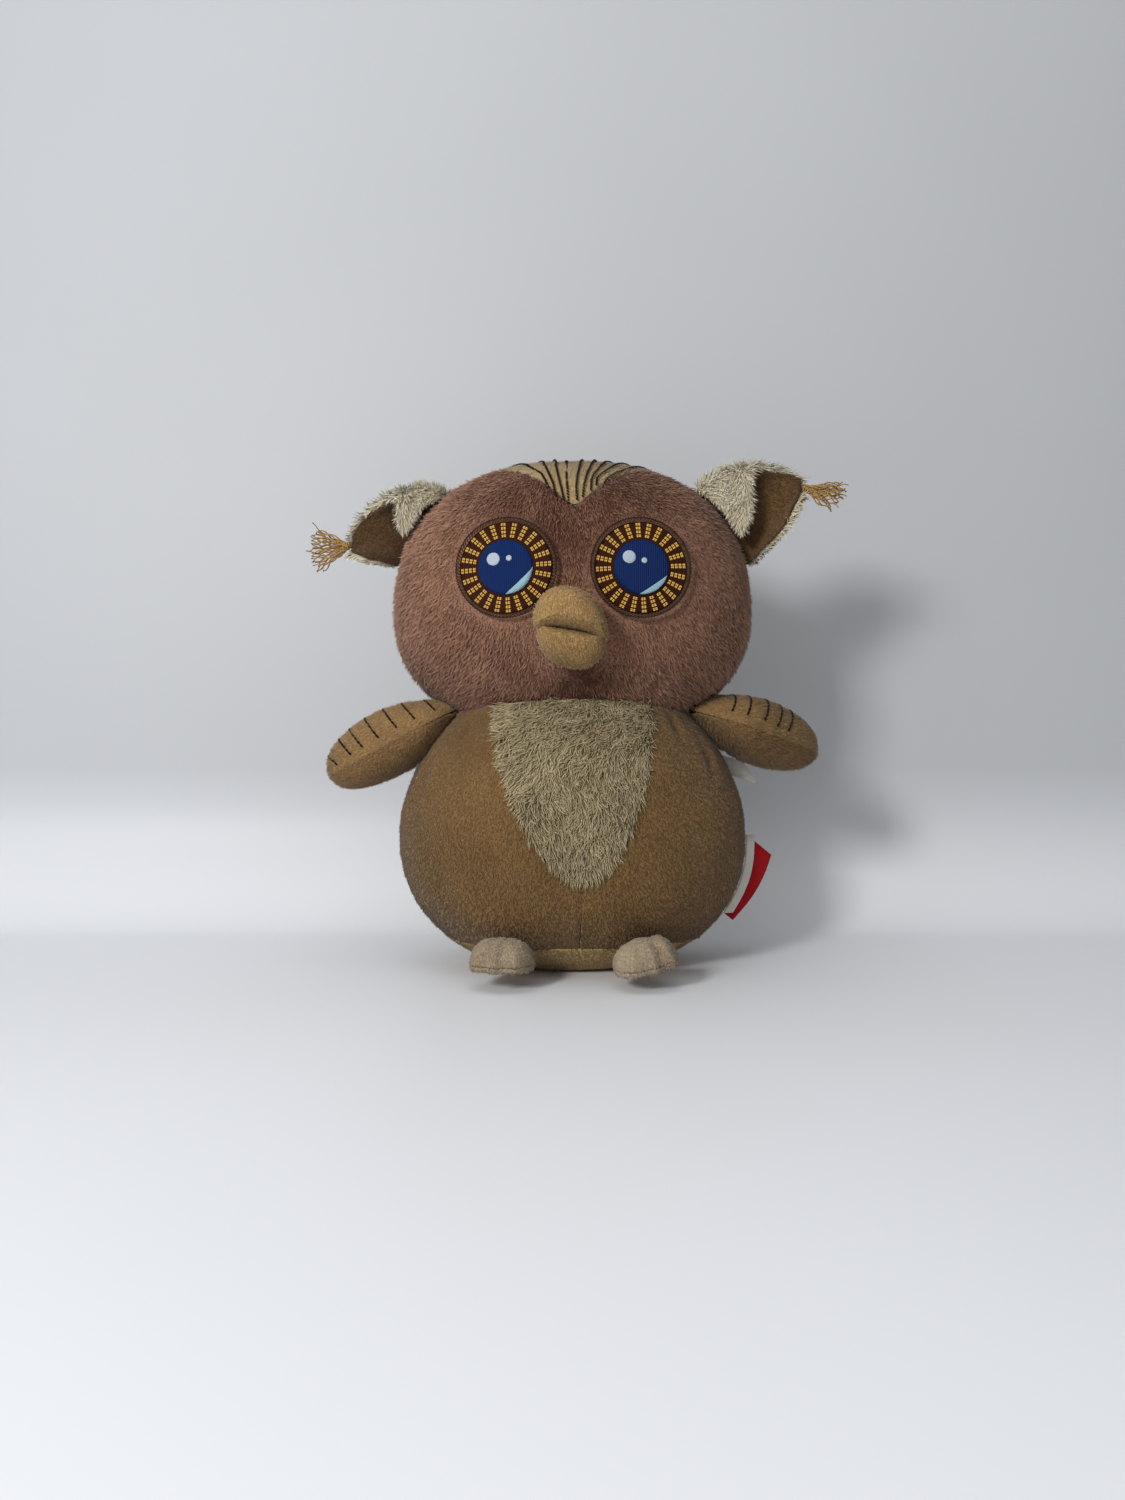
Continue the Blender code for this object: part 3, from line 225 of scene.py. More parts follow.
def add_node(tree, kind, settings=(), inputs=()):
    """Any node: its settings first, then its inputs, by name or number."""
    made = tree.nodes.new(kind)
    for key, value in dict(settings).items():
        setattr(made, key, value)
    for key, value in dict(inputs).items():
        feed(tree, made.inputs[key], value)
    return made


class Value:
    """A number in a material that takes part in sums."""

    def __init__(self, tree, socket):
        self.tree = tree
        self.socket = socket

    def maths(self, operation, *parts):
        made = add_node(self.tree, "ShaderNodeMath", {"operation": operation}, enumerate(parts))
        return Value(self.tree, made.outputs[0])

    def __add__(self, other):
        return self.maths("ADD", self, other)

    __radd__ = __add__

    def __sub__(self, other):
        return self.maths("SUBTRACT", self, other)

    def __rsub__(self, other):
        return self.maths("SUBTRACT", other, self)

    def __mul__(self, other):
        return self.maths("MULTIPLY", self, other)

    __rmul__ = __mul__

    def wave(self):
        """A smooth wave between 0 and 1."""
        return self.maths("SINE", self) * 0.5 + 0.5

    def held(self):
        """Held between 0 and 1."""
        return self.maths("MINIMUM", self.maths("MAXIMUM", self, 0), 1)


class Finish:
    """A material under construction."""

    def __init__(self, name, **fixed):
        self.material = bpy.data.materials.new(name)
        self.material.use_nodes = True
        self.tree = self.material.node_tree
        self.shader = self.tree.nodes["Principled BSDF"]
        self.paint(**fixed)

    def node(self, kind, settings=(), inputs=(), outlet=0):
        return Value(self.tree, add_node(self.tree, kind, settings, inputs).outputs[outlet])

    def place(self):
        """Where a point of the piece is."""
        return self.node("ShaderNodeTexCoord", outlet="Object")

    def split(self, spot, outlet):
        """One of the three parts of a vector."""
        return self.node("ShaderNodeSeparateXYZ", inputs={0: spot}, outlet=outlet)

    def noise(self, scale, detail=2.0, roughness=0.5):
        """Cloudy noise, with scale lumps to the metre."""
        inputs = {"Vector": self.place(), "Scale": scale, "Detail": detail, "Roughness": roughness}
        return self.node("ShaderNodeTexNoise", inputs=inputs)

    def attribute(self, name, outlet="Fac"):
        return self.node("ShaderNodeAttribute", {"attribute_name": name}, outlet=outlet)

    def mix(self, share, first, second):
        """A colour between two colours."""
        inputs = {0: share, 6: first, 7: second}
        return self.node("ShaderNodeMix", {"data_type": "RGBA"}, inputs, outlet=2)

    def bump(self, height, distance, strength=1.0):
        inputs = {"Height": height, "Distance": distance, "Strength": strength}
        return self.node("ShaderNodeBump", inputs=inputs, outlet="Normal")

    def paint(self, **sockets):
        """Feeds the shader's sockets and gives the finished material."""
        for key, value in sockets.items():
            feed(self.tree, self.shader.inputs[key.replace("_", " ")], value)
        return self.material


def cloth_finish(name, look):
    """The backing cloth of a pile: a fine nap, brushed lighter and darker in patches."""
    made = Finish(name, Roughness=0.95, Sheen_Weight=0.25, Sheen_Roughness=0.5, Specular_IOR_Level=0.2)
    patch = made.noise(45, 3, 0.55)
    grain = made.noise(1500, 3, 0.6)
    tone = made.attribute("tone")
    share = (patch - 0.5) * 0.9 + (grain - 0.5) * 0.8 + tone + 0.42
    return made.paint(
        Base_Color=made.mix(share.held(), tuple(look.dark), tuple(look.light)),
        Normal=made.bump(grain + made.noise(420, 2) * 0.6, 0.0006, 0.8),
    )


def tuft_finish(name, look):
    """The tufts of a pile: darker at their roots, with each tuft a little different."""
    made = Finish(name, Roughness=0.85, Sheen_Weight=0.3, Sheen_Roughness=0.45, Specular_IOR_Level=0.15)
    patch = made.noise(45, 3, 0.55)
    tip = made.attribute("tip")
    shade = made.attribute("shade")
    tone = made.attribute("tone")
    share = tip * 0.62 + (shade - 0.5) * 0.5 + (patch - 0.5) * 0.7 + tone + 0.12
    cloth = made.attribute("cloth_normal", "Vector")
    real = made.node("ShaderNodeNewGeometry", outlet="Normal")
    turned = made.node(
        "ShaderNodeVectorTransform",
        {"vector_type": "NORMAL", "convert_from": "OBJECT", "convert_to": "WORLD"}, {0: cloth})
    blended = made.node("ShaderNodeMix", {"data_type": "VECTOR"}, {0: 0.62, 4: real, 5: turned}, 1)
    normal = made.node("ShaderNodeVectorMath", {"operation": "NORMALIZE"}, {0: blended})
    return made.paint(
        Base_Color=made.mix(share.held(), tuple(look.dark), tuple(look.light)), Normal=normal)


def thread_finish(name, tint, gloss=0.55):
    """Twisted thread: fine fibres that catch the light."""
    made = Finish(name, Roughness=gloss, Specular_IOR_Level=0.15)
    fibre = made.noise(2600, 2, 0.6)
    dark = tuple(part * 0.55 for part in tint)
    return made.paint(
        Base_Color=made.mix((fibre * 1.3 - 0.15).held(), dark, tuple(tint)),
        Normal=made.bump(fibre, 0.00025, 0.7),
    )


def filling_finish(name, tint, neck, height):
    """Soft fibre, hidden at the neck behind the brown cloth's turned-in edges."""
    made = Finish(name, Roughness=0.95)
    fibre = made.noise(2600, 2, 0.6)
    level = made.split(made.place(), 2)
    # near is where the fibre takes the seam's dark colour as painted shadow: fully within 7.5 mm of the
    # seam's height, fading out by 14 mm.
    near = (2.2 - (level - height).maths("ABSOLUTE", level - height) * 160.0).held()
    pale = made.mix(fibre.held(), tuple(part * 0.6 for part in tint), tint)
    return made.paint(Base_Color=made.mix(near, pale, neck), Normal=made.bump(fibre, 0.00025, 0.7))


def satin_finish(name, tint, across, pitch):
    """Satin stitch: threads side by side, whose direction runs across the given pair of shares."""
    made = Finish(name, Roughness=0.6, Specular_IOR_Level=0.12)
    spot = made.node("ShaderNodeTexCoord", outlet="UV")
    side, up = made.split(spot, 0), made.split(spot, 1)
    wander = (made.noise(900, 2) - 0.5) * 1.2
    run = (side * across[0] + up * across[1]) * (2 * math.pi / pitch) + wander
    ridge = run.wave()
    grain = made.noise(1800, 2)
    share = (ridge * 0.6 + grain * 0.5).held()
    dark = tuple(part * 0.5 for part in tint)
    return made.paint(
        Base_Color=made.mix(share, dark, tuple(tint)),
        Normal=made.bump(ridge + grain * 0.4, 0.00018),
    )


def tape_finish(name, tint):
    """Woven tape: fine warp and weft."""
    made = Finish(name, Roughness=0.8, Specular_IOR_Level=0.1)
    side, up = made.split(made.place(), 0), made.split(made.place(), 2)
    weave = (side * 9000).wave() * 0.5 + (up * 11000).wave() * 0.5
    soil = made.noise(140, 3)
    dark = tuple(part * 0.72 for part in tint)
    return made.paint(
        Base_Color=made.mix((weave * 0.35 + soil * 0.8).held(), dark, tuple(tint)),
        Normal=made.bump(weave, 0.00015, 0.8),
    )


def paper_finish(name, floor, wall):
    """Seamless paper, faintly cloudy, whose wall is a little darker than its floor.

    It isn't seen from behind, so that the owl's back can be.
    """
    made = Finish(name, Roughness=0.5, Specular_IOR_Level=0.35)
    cloud = made.noise(3.5, 3, 0.5)
    # rise is the share of the painted shade, from none on the floor to full at 83 mm up.
    rise = (made.split(made.place(), 2) * 12.0).held()
    seen = made.node("ShaderNodeLightPath", outlet="Is Camera Ray")
    back = made.node("ShaderNodeNewGeometry", outlet="Backfacing")
    tint = made.mix(rise, floor, wall)
    dark = made.mix(rise, tuple(part * 0.92 for part in floor), tuple(part * 0.88 for part in wall))
    return made.paint(Base_Color=made.mix(cloud.held(), dark, tint), Alpha=1.0 - seen * back)


# ---------------------------------------------------------------- shapes

def show(name, mesh, finish=None):
    """A mesh as an object of the scene, at the origin."""
    made = bpy.data.objects.new(name, mesh)
    bpy.context.scene.collection.objects.link(made)
    if finish:
        paint(made, finish)
    return made


def paint(piece, finish):
    """Gives a piece one finish."""
    piece.data.materials.clear()
    piece.data.materials.append(finish)


def settle(piece, body, nodes=()):
    """Says what a piece rides on, the slot of its finish and the solids it stands for."""
    for face in piece.data.polygons:
        face.use_smooth = True
    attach(piece, body)
    if nodes:
        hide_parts(*nodes)
    return piece


def frozen(piece, name):
    """The evaluated shape of an object as a plain one; the first object is removed."""
    graph = bpy.context.evaluated_depsgraph_get()
    mesh = bpy.data.meshes.new_from_object(piece.evaluated_get(graph))
    mesh.name = name
    old = piece.data
    bpy.data.objects.remove(piece)
    if old.users == 0:
        bpy.data.meshes.remove(old)
    return show(name, mesh)


def soft_copy(node, name, levels, crease=0.0, eased=0):
    """A rounded copy of a solid, with its triangles paired and its sharp edges eased."""
    shape = bmesh.new()
    shape.from_mesh(frame["nodes"][node].data)
    bmesh.ops.remove_doubles(shape, verts=shape.verts, dist=WELD)
    bmesh.ops.join_triangles(
        shape, faces=shape.faces, angle_face_threshold=math.radians(35),
        angle_shape_threshold=math.radians(60))
    sharp = shape.edges.layers.float.new("crease_edge")
    for edge in shape.edges:
        if len(edge.link_faces) == 2 and edge.calc_face_angle() > math.radians(50):
            edge[sharp] = crease
    mesh = bpy.data.meshes.new(name)
    shape.to_mesh(mesh)
    shape.free()
    piece = show(name + "_cage", mesh)
    rounding = piece.modifiers.new("Rounding", "SUBSURF")
    rounding.levels = rounding.render_levels = levels
    if eased:
        easing = piece.modifiers.new("Easing", "SMOOTH")
        easing.iterations = eased
    return frozen(piece, name)


def tree_of(nodes):
    """A search tree of these solids' or pieces' faces."""
    spots, faces = [], []
    for item in nodes:
        mesh = frame["nodes"][item].data if isinstance(item, str) else item.data
        first = len(spots)
        spots.extend(v.co.copy() for v in mesh.vertices)
        faces.extend([first + v for v in face.vertices] for face in mesh.polygons)
    return BVHTree.FromPolygons(spots, faces)


def sight(px, py):
    """Direction from the camera through a pixel of the photograph."""
    across, up = px - IMAGE_WIDTH / 2, HORIZON_PIXEL - py
    return Vector((across / FOCAL_PIXELS, 1, up / FOCAL_PIXELS)).normalized()


def seen(tree, px, py):
    """Point and outward direction of the surface that a pixel of the photograph shows."""
    spot, normal, _, _ = tree.ray_cast(EYE_POINT, sight(px, py))
    if spot is None:
        raise RuntimeError(f"no surface at pixel {px}, {py}")
    return spot, normal


def level_with(px, py, depth):
    """The point at a depth that a pixel of the photograph shows."""
    way = sight(px, py)
    return EYE_POINT + way * ((depth - EYE_POINT.y) / way.y)


def vertex_arrays(mesh):
    """A mesh's points and normals as arrays."""
    count = len(mesh.vertices)
    spots, normals = np.zeros(count * 3), np.zeros(count * 3)
    mesh.vertices.foreach_get("co", spots)
    mesh.vertices.foreach_get("normal", normals)
    return spots.reshape(-1, 3), normals.reshape(-1, 3)


def move(mesh, spots):
    """Puts a mesh's points at these places."""
    mesh.vertices.foreach_set("co", np.asarray(spots, np.float32).ravel())
    mesh.update()


def store(mesh, name, kind, values):
    """A named value or direction at each point of a mesh."""
    layer = mesh.attributes.get(name) or mesh.attributes.new(name, kind, "POINT")
    key = "vector" if kind == "FLOAT_VECTOR" else "value"
    layer.data.foreach_set(key, np.asarray(values, np.float32).ravel())


def bare(node, ending, body, finish, crease=0.0, change=None):
    """A solid without pile: its rounded skin in one finish."""
    piece = soft_copy(node, f"{node}_{ending}", 1, crease)
    if change:
        change(piece.data)
    paint(piece, finish)
    settle(piece, body, [node])


def open_share(node, spots, normals, reach):
    """1 where the cloth is open to the air, and 0 where another piece lies close over it."""
    others = tree_of([other for other in frame["nodes"] if other != node])
    share = np.ones(len(spots))
    for index, (spot, normal) in enumerate(zip(spots, normals)):
        out = Vector(normal)
        hit = others.ray_cast(Vector(spot) + out * 0.0003, out, reach)
        if hit[0] is not None:
            share[index] = 0
    return share


def pucker(mesh, neighbours):
    """Draws small folds across a seam, which fade away from it."""
    size, reach, step = 0.0005, 0.006, 0.0045
    close = tree_of(neighbours)
    seam = [v.co.copy() for v in mesh.vertices if close.find_nearest(v.co, SEAM_REACH)[0] is not None]
    finder = KDTree(len(seam))
    for index, spot in enumerate(seam):
        finder.insert(spot, index)
    finder.balance()
    spots, normals = vertex_arrays(mesh)
    moves = np.zeros(len(spots))
    for index, spot in enumerate(spots):
        near, _, gap = finder.find(spot)
        if near is not None and gap < reach * 2.5:
            moves[index] = size * math.exp(-((gap / reach) ** 2)) * noise.noise(near / step)
    move(mesh, spots + normals * moves[:, None])


def fold(mesh, node, folds):
    """Sinks soft folds along lines that the photograph shows, deepest at their middle."""
    ground = tree_of([node])
    marks = []
    for pixels, depth, wide in folds:
        hits = [ground.ray_cast(EYE_POINT, sight(*pixel))[0] for pixel in pixels]
        line = [spot for spot in hits if spot is not None]
        if len(line) < 2:
            continue
        run = sum((b - a).length for a, b in zip(line, line[1:]))
        for index, (spot, _, _, _) in enumerate(resampled(line, run / FOLD_MARKS)):
            marks.append((spot, depth * math.sin(math.pi * (0.12 + 0.8 * index / FOLD_MARKS)), wide))
    if not marks:
        return
    finder = KDTree(len(marks))
    for index, (spot, _, _) in enumerate(marks):
        finder.insert(spot, index)
    finder.balance()
    spots, normals = vertex_arrays(mesh)
    moves = np.zeros(len(spots))
    for index, spot in enumerate(spots):
        _, mark, gap = finder.find(spot)
        _, depth, wide = marks[mark]
        if gap < wide * 3:
            share = gap / wide
            rim = 0.35 * math.exp(-((share - 1.7) ** 2))
            moves[index] = -depth * math.exp(-share * share) + depth * rim
    move(mesh, spots + normals * moves[:, None])


def slack(mesh, size, step):
    """Gives stuffed cloth its faint unevenness."""
    spots, normals = vertex_arrays(mesh)
    moves = [size * noise.noise(Vector(spot) / step) for spot in spots]
    move(mesh, spots + normals * np.array(moves)[:, None])


def middle_of(node):
    """The middle of a solid's box."""
    return sum(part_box(node), Vector()) / 2


def joint_of(body):
    """The joint that a body turns on."""
    return next(joint for joint in frame["joints"] if joint["child"] == body)


def neck_height():
    """Height of the seam between head and body, where the wings are sewn in."""
    return joint_of("wing_right")["pos_m"][2]


# ---------------------------------------------------------------- repeated shapes

class Steps:
    """A geometry tree under construction, whose inputs are settled when it runs."""

    def __init__(self, name, **inputs):
        self.tree = bpy.data.node_groups.new(name, "GeometryNodeTree")
        for title, kind in {"Geometry": "Geometry", **inputs, "Material": "Material"}.items():
            self.tree.interface.new_socket(
                title.replace("_", " "), in_out="INPUT", socket_type=f"NodeSocket{kind}")
        self.tree.interface.new_socket("Geometry", in_out="OUTPUT", socket_type="NodeSocketGeometry")
        self.start = self.tree.nodes.new("NodeGroupInput")

    def given(self, title):
        return self.start.outputs[title]

    def node(self, kind, settings=(), inputs=(), outlet=0):
        """A node's outlet, or the whole node."""
        made = add_node(self.tree, kind, settings, inputs)
        return made if outlet is None else made.outputs[outlet]

    def read(self, name, kind="FLOAT"):
        return self.node("GeometryNodeInputNamedAttribute", {"data_type": kind}, {"Name": name})

    def keep(self, shape, name, value, kind="FLOAT"):
        return self.node(
            "GeometryNodeStoreNamedAttribute", {"data_type": kind, "domain": "POINT"},
            {"Geometry": shape, "Name": name, "Value": value})

    def vector(self, operation, first, second):
        """A sum of vectors, or a vector scaled by a number."""
        other = "Scale" if operation == "SCALE" else 1
        return self.node("ShaderNodeVectorMath", {"operation": operation}, {0: first, other: second})

    def maths(self, operation, first, second):
        return self.node("ShaderNodeMath", {"operation": operation}, {0: first, 1: second})

    def random(self, low, high, seed):
        inputs = {2: low, 3: high, "Seed": seed}
        return self.node("FunctionNodeRandomValue", {"data_type": "FLOAT"}, inputs, outlet=1)

    def finish(self, shape):
        """Real faces and a finish, then the output."""
        real = self.node("GeometryNodeRealizeInstances", inputs={0: shape})
        painted = self.node(
            "GeometryNodeSetMaterial", inputs={0: real, "Material": self.given("Material")})
        end = self.tree.nodes.new("NodeGroupOutput")
        self.tree.links.new(painted, end.inputs[0])
        return self.tree


def grow(tree, piece, name, values):
    """Runs a geometry tree on an object and gives the result as a plain object."""
    run = piece.modifiers.new("Grow", "NODES")
    run.node_group = tree
    for item in tree.interface.items_tree:
        if item.item_type == "SOCKET" and item.in_out == "INPUT" and item.name in values:
            run[item.identifier] = values[item.name]
    return frozen(piece, name)


def pile_tree(name):
    """Tufts spread over a cloth, leaning with its nap and drawn together into locks."""
    steps = Steps(
        name, Density="Float", Length="Float", Width="Float", Rows="Int", Lock_size="Float",
        Lock_pull="Float", Stray="Float", Seed="Int")
    seed = steps.given("Seed")
    thick = steps.maths("MULTIPLY", steps.given("Density"), steps.read("pile"))
    spread = steps.node(
        "GeometryNodeDistributePointsOnFaces", {"distribute_method": "RANDOM"},
        {"Mesh": steps.given("Geometry"), "Density": thick, "Seed": seed}, outlet=None)
    points, normals = spread.outputs["Points"], spread.outputs["Normal"]
    points = steps.keep(points, "cloth_normal", normals, "FLOAT_VECTOR")
    points = steps.keep(points, "shade", steps.random(0.0, 1.0, seed))
    place = steps.node("GeometryNodeInputPosition")
    lumps = steps.node(
        "ShaderNodeTexNoise", {"noise_dimensions": "3D"},
        {"Vector": place, "Scale": steps.maths("DIVIDE", 1.0, steps.given("Lock size")), "Detail": 1.0},
        outlet="Color")
    pull = steps.vector("SUBTRACT", lumps, (0.5, 0.5, 0.5))
    pull = steps.vector("SCALE", pull, steps.given("Lock pull"))
    stray = steps.node(
        "FunctionNodeRandomValue", {"data_type": "FLOAT_VECTOR"},
        {0: (-1.0, -1.0, -1.0), 1: (1.0, 1.0, 1.0), "Seed": seed})
    stray = steps.vector("SCALE", stray, steps.given("Stray"))
    way = steps.vector("ADD", steps.vector("ADD", steps.read("comb", "FLOAT_VECTOR"), pull), stray)
    turn = steps.node("FunctionNodeAlignRotationToVector", {"axis": "Z"}, {"Vector": way})
    spin = steps.node(
        "FunctionNodeRotateRotation", {"rotation_space": "LOCAL"},
        {0: turn, 1: steps.node(
            "FunctionNodeAxisAngleToRotation",
            inputs={0: (0.0, 0.0, 1.0), 1: steps.random(0.0, 6.28, seed)})})
    tuft = steps.node(
        "GeometryNodeMeshCone", {"fill_type": "NONE"},
        {"Vertices": 3, "Side Segments": steps.given("Rows"), "Radius Top": 0.0, "Radius Bottom": 0.5,
         "Depth": 1.0})
    height = steps.node(
        "ShaderNodeSeparateXYZ", inputs={0: steps.node("GeometryNodeInputPosition")}, outlet=2)
    tuft = steps.keep(tuft, "tip", height)
    bend = steps.maths("MULTIPLY", steps.maths("MULTIPLY", height, height), 0.9)
    tuft = steps.node(
        "GeometryNodeSetPosition", inputs={0: tuft, "Offset": steps.node(
            "ShaderNodeCombineXYZ", inputs={0: bend})})
    wide = steps.maths("MULTIPLY", steps.given("Width"), steps.random(0.7, 1.3, seed))
    long = steps.maths("MULTIPLY", steps.given("Length"), steps.random(0.6, 1.15, seed))
    long = steps.maths("MULTIPLY", long, steps.read("reach"))
    size = steps.node("ShaderNodeCombineXYZ", inputs={0: wide, 1: wide, 2: long})
    tufts = steps.node(
        "GeometryNodeInstanceOnPoints",
        inputs={"Points": points, "Instance": tuft, "Rotation": spin, "Scale": size})
    return steps.finish(tufts)


def stitch_tree(name):
    """A rounded stitch on each point, laid along its own direction."""
    steps = Steps(name, Segments="Int")
    bead = steps.node(
        "GeometryNodeMeshUVSphere",
        inputs={"Segments": steps.given("Segments"), "Rings": 5, "Radius": 0.5})
    turn = steps.node(
        "FunctionNodeAlignRotationToVector", {"axis": "Z"},
        {"Vector": steps.read("along", "FLOAT_VECTOR")})
    turn = steps.node(
        "FunctionNodeAlignRotationToVector", {"axis": "X", "pivot_axis": "Z"},
        {"Rotation": turn, "Vector": steps.read("up", "FLOAT_VECTOR")})
    laid = steps.node(
        "GeometryNodeInstanceOnPoints",
        inputs={"Points": steps.given("Geometry"), "Instance": bead, "Rotation": turn,
                "Scale": steps.read("size", "FLOAT_VECTOR")})
    return steps.finish(laid)


def yarn_tree(name):
    """Two-ply yarn along each line of a mesh: a flat section that twists as it goes."""
    steps = Steps(name, Thickness="Float", Twist="Float")
    line = steps.node("GeometryNodeMeshToCurve", inputs={0: steps.given("Geometry")})
    line = steps.node(
        "GeometryNodeSetCurveTilt", inputs={0: line, "Tilt": steps.maths(
            "MULTIPLY", steps.node("GeometryNodeSplineParameter"), steps.given("Twist"))})
    ring = steps.node("GeometryNodeCurvePrimitiveCircle", inputs={"Resolution": 6, "Radius": 0.5})
    ring = steps.node("GeometryNodeTransform", inputs={0: ring, "Scale": (1.0, 0.55, 1.0)})
    ring = steps.node(
        "GeometryNodeTransform", inputs={0: ring, "Scale": steps.node(
            "ShaderNodeCombineXYZ",
            inputs={0: steps.given("Thickness"), 1: steps.given("Thickness"), 2: 1.0})})
    tube = steps.node("GeometryNodeCurveToMesh", inputs={0: line, 1: ring, "Fill Caps": True})
    return steps.finish(tube)


MADE = {}


def once(name, maker, *given):
    """A finish or a geometry tree, made when it is first asked for."""
    if name not in MADE:
        MADE[name] = maker(name, *given)
    return MADE[name]


def stitches(name, carriers, finish, segments, body, nodes=()):
    """Stitches at carriers: each a place, the way it runs, the way it faces, and its three sizes."""
    places, runs, ups, sizes = zip(*carriers)
    mesh = bpy.data.meshes.new(name)
    mesh.from_pydata(places, [], [])
    store(mesh, "along", "FLOAT_VECTOR", runs)
    store(mesh, "up", "FLOAT_VECTOR", ups)
    store(mesh, "size", "FLOAT_VECTOR", [size[::-1] for size in sizes])
    values = {"Segments": segments, "Material": finish}
    piece = grow(once("Stitches", stitch_tree), show(name + "_points", mesh), name, values)
    settle(piece, body, nodes)


def yarn(name, lines, thick, twist, finish, body, nodes=()):
    """Yarn along lines of points."""
    spots, edges = [], []
    for line in lines:
        first = len(spots)
        spots.extend(line)
        edges.extend((first + at, first + at + 1) for at in range(len(line) - 1))
    mesh = bpy.data.meshes.new(name)
    mesh.from_pydata(spots, edges, [])
    values = {"Thickness": thick, "Twist": twist, "Material": finish}
    piece = grow(once("Yarn", yarn_tree), show(name + "_lines", mesh), name, values)
    settle(piece, body, nodes)


def resampled(path, step):
    """Points an even step apart along a path, with the way it runs there."""
    spots = [Vector(spot) for spot in path]
    lengths = [0.0]
    for first, second in zip(spots, spots[1:]):
        lengths.append(lengths[-1] + (second - first).length)
    count = max(1, round(lengths[-1] / step))
    made = []
    for index in range(count):
        want = lengths[-1] * (index + 0.5) / count
        at = max(i for i, run in enumerate(lengths[:-1]) if run <= want)
        run = lengths[at + 1] - lengths[at]
        share = (want - lengths[at]) / run
        first, second = spots[at], spots[at + 1]
        made.append((first.lerp(second, share), (second - first).normalized(), at, share))
    return made


def rope(path, ups, pitch, wide, slant, overlap):
    """Carriers of stitches along a path on a surface, slanted from it by an angle."""
    carriers = []
    for spot, way, at, share in resampled(path, pitch):
        up = Vector(ups[at]).lerp(Vector(ups[at + 1]), share).normalized()
        lean = Matrix.Rotation(slant, 3, up)
        carriers.append((spot, lean @ way, up, (pitch * overlap, wide, wide * 0.8)))
    return carriers


# ---------------------------------------------------------------- nap

def flow(spots, side, back, up):
    """Directions at spots, from three parts that are each a number or one number for each spot."""
    return np.stack([np.broadcast_to(part, len(spots)) for part in (side, back, up)], 1)


def head_nap(spots):
    """The head's nap falls from the brow, outwards over the cheeks."""
    return flow(spots, np.clip(spots[:, 0] / 0.05, -1, 1) * 0.75, 0, -1)


def crown_nap(spots):
    """The crown's nap runs back and down."""
    return flow(spots, spots[:, 0] * 4, 0.8, -0.7)


def down_nap(spots):
    """Nap that falls, and fans out a little."""
    return flow(spots, spots[:, 0] * 5, 0, -1)


def tousled_nap(spots):
    """Nap that falls, brushed to one side above and the other below, in swirls."""
    grain = np.array([noise.noise(Vector(spot) * 55.0) for spot in spots])
    return flow(spots, 0.5 - 1.2 * ramp(spots[:, 2], 0.045, 0.055) + grain * 1.3, -0.2, -1)


def outward_nap(spots):
    """Nap that runs out to the side and falls a little."""
    return flow(spots, np.sign(spots[:, 0]), -0.1, -0.35)


def forward_nap(spots):
    """Nap that runs forward and falls."""
    return flow(spots, 0, -1, -0.8)


def ramp(values, start, run):
    """Rises from 0 at a start to 1 at the end of a run."""
    return np.clip((values - start) / run, 0, 1)


def bell(values, middle, wide):
    """1 at a middle, and fading away on both sides."""
    return np.exp(-(((values - middle) / wide) ** 2))


def comb(nap, normals, lean):
    """The way that tufts stand: along the nap, raised from the cloth."""
    flat = nap - (nap * normals).sum(1, keepdims=True) * normals
    flat /= np.maximum(np.linalg.norm(flat, axis=1, keepdims=True), 1e-6)
    return normals * math.cos(lean) + flat * math.sin(lean)


def drawn(spots, tree, reach, shares, pull):
    """Spots drawn towards the nearest surface within reach, each by its share of the pull."""
    made = spots.copy()
    for index in np.nonzero(shares)[0]:
        near, _, _, away = tree.find_nearest(Vector(spots[index]), reach)
        if near is not None:
            made[index] += (np.array(near) - spots[index]) * (1 - away / reach) * shares[index] * pull
    return made


def meet(mesh, others, pull):
    """Draws a cloth's edge towards its neighbours' edges, so that no gap shows between them."""
    spots, _ = vertex_arrays(mesh)
    move(mesh, drawn(spots, tree_of(others), MEETING_REACH, np.ones(len(spots)), pull))


def dress(node, body, slot_name, look_name, nap, crease=0.0, lock=(0.004, 0.6), stray=0.22, seams=(),
          tone=None, reach=None, fill=0.85, folds=(), shape=None, uneven=0.0, cover=0.003, eased=0,
          joins=()):
    """A solid of pile cloth: its rounded skin and the tufts that stand on it."""
    look = getattr(bpy.context.scene.owl, look_name)
    skin = soft_copy(node, f"{node}_cloth", 2, crease, eased)
    spots, normals = vertex_arrays(skin.data)
    open_air = open_share(node, spots, normals, cover)
    if shape:
        move(skin.data, shape(spots, normals))
    if uneven:
        slack(skin.data, uneven, SLACK_STEP)
    if joins:
        meet(skin.data, joins, JOIN_PULL)
    if seams:
        meet(skin.data, seams, SEAM_PULL)
        pucker(skin.data, seams)
    if folds:
        fold(skin.data, node, folds)
    paint(skin, once(f"{look_name}_cloth", cloth_finish, look))
    spots, normals = vertex_arrays(skin.data)
    store(skin.data, "pile", "FLOAT", open_air)
    store(skin.data, "comb", "FLOAT_VECTOR", comb(nap(spots), normals, look.lean))
    store(skin.data, "tone", "FLOAT", tone(spots) if tone else np.zeros(len(spots)))
    store(skin.data, "reach", "FLOAT", reach(spots, normals) if reach else np.ones(len(spots)))
    ground = show(f"{node}_ground", skin.data.copy())
    values = {
        "Density": look.density * SQUARE_MILLIMETRES, "Length": look.long, "Width": look.wide,
        "Rows": look.rows, "Lock size": lock[0], "Lock pull": lock[1], "Stray": stray,
        "Seed": sum(map(ord, node)),
        "Material": once(f"{look_name}_tufts", tuft_finish, look),
    }
    tufts = grow(once("Pile", pile_tree), ground, f"{node}_pile", values)
    settle(skin, body, [node])
    settle(tufts, body)
    return skin


# ---------------------------------------------------------------- operators

class Maker(bpy.types.Operator):
    """Shared by the operators that make pieces."""

    bl_options = {"REGISTER", "UNDO"}

    def execute(self, context):
        self.make(context.scene.owl)
        return {"FINISHED"}


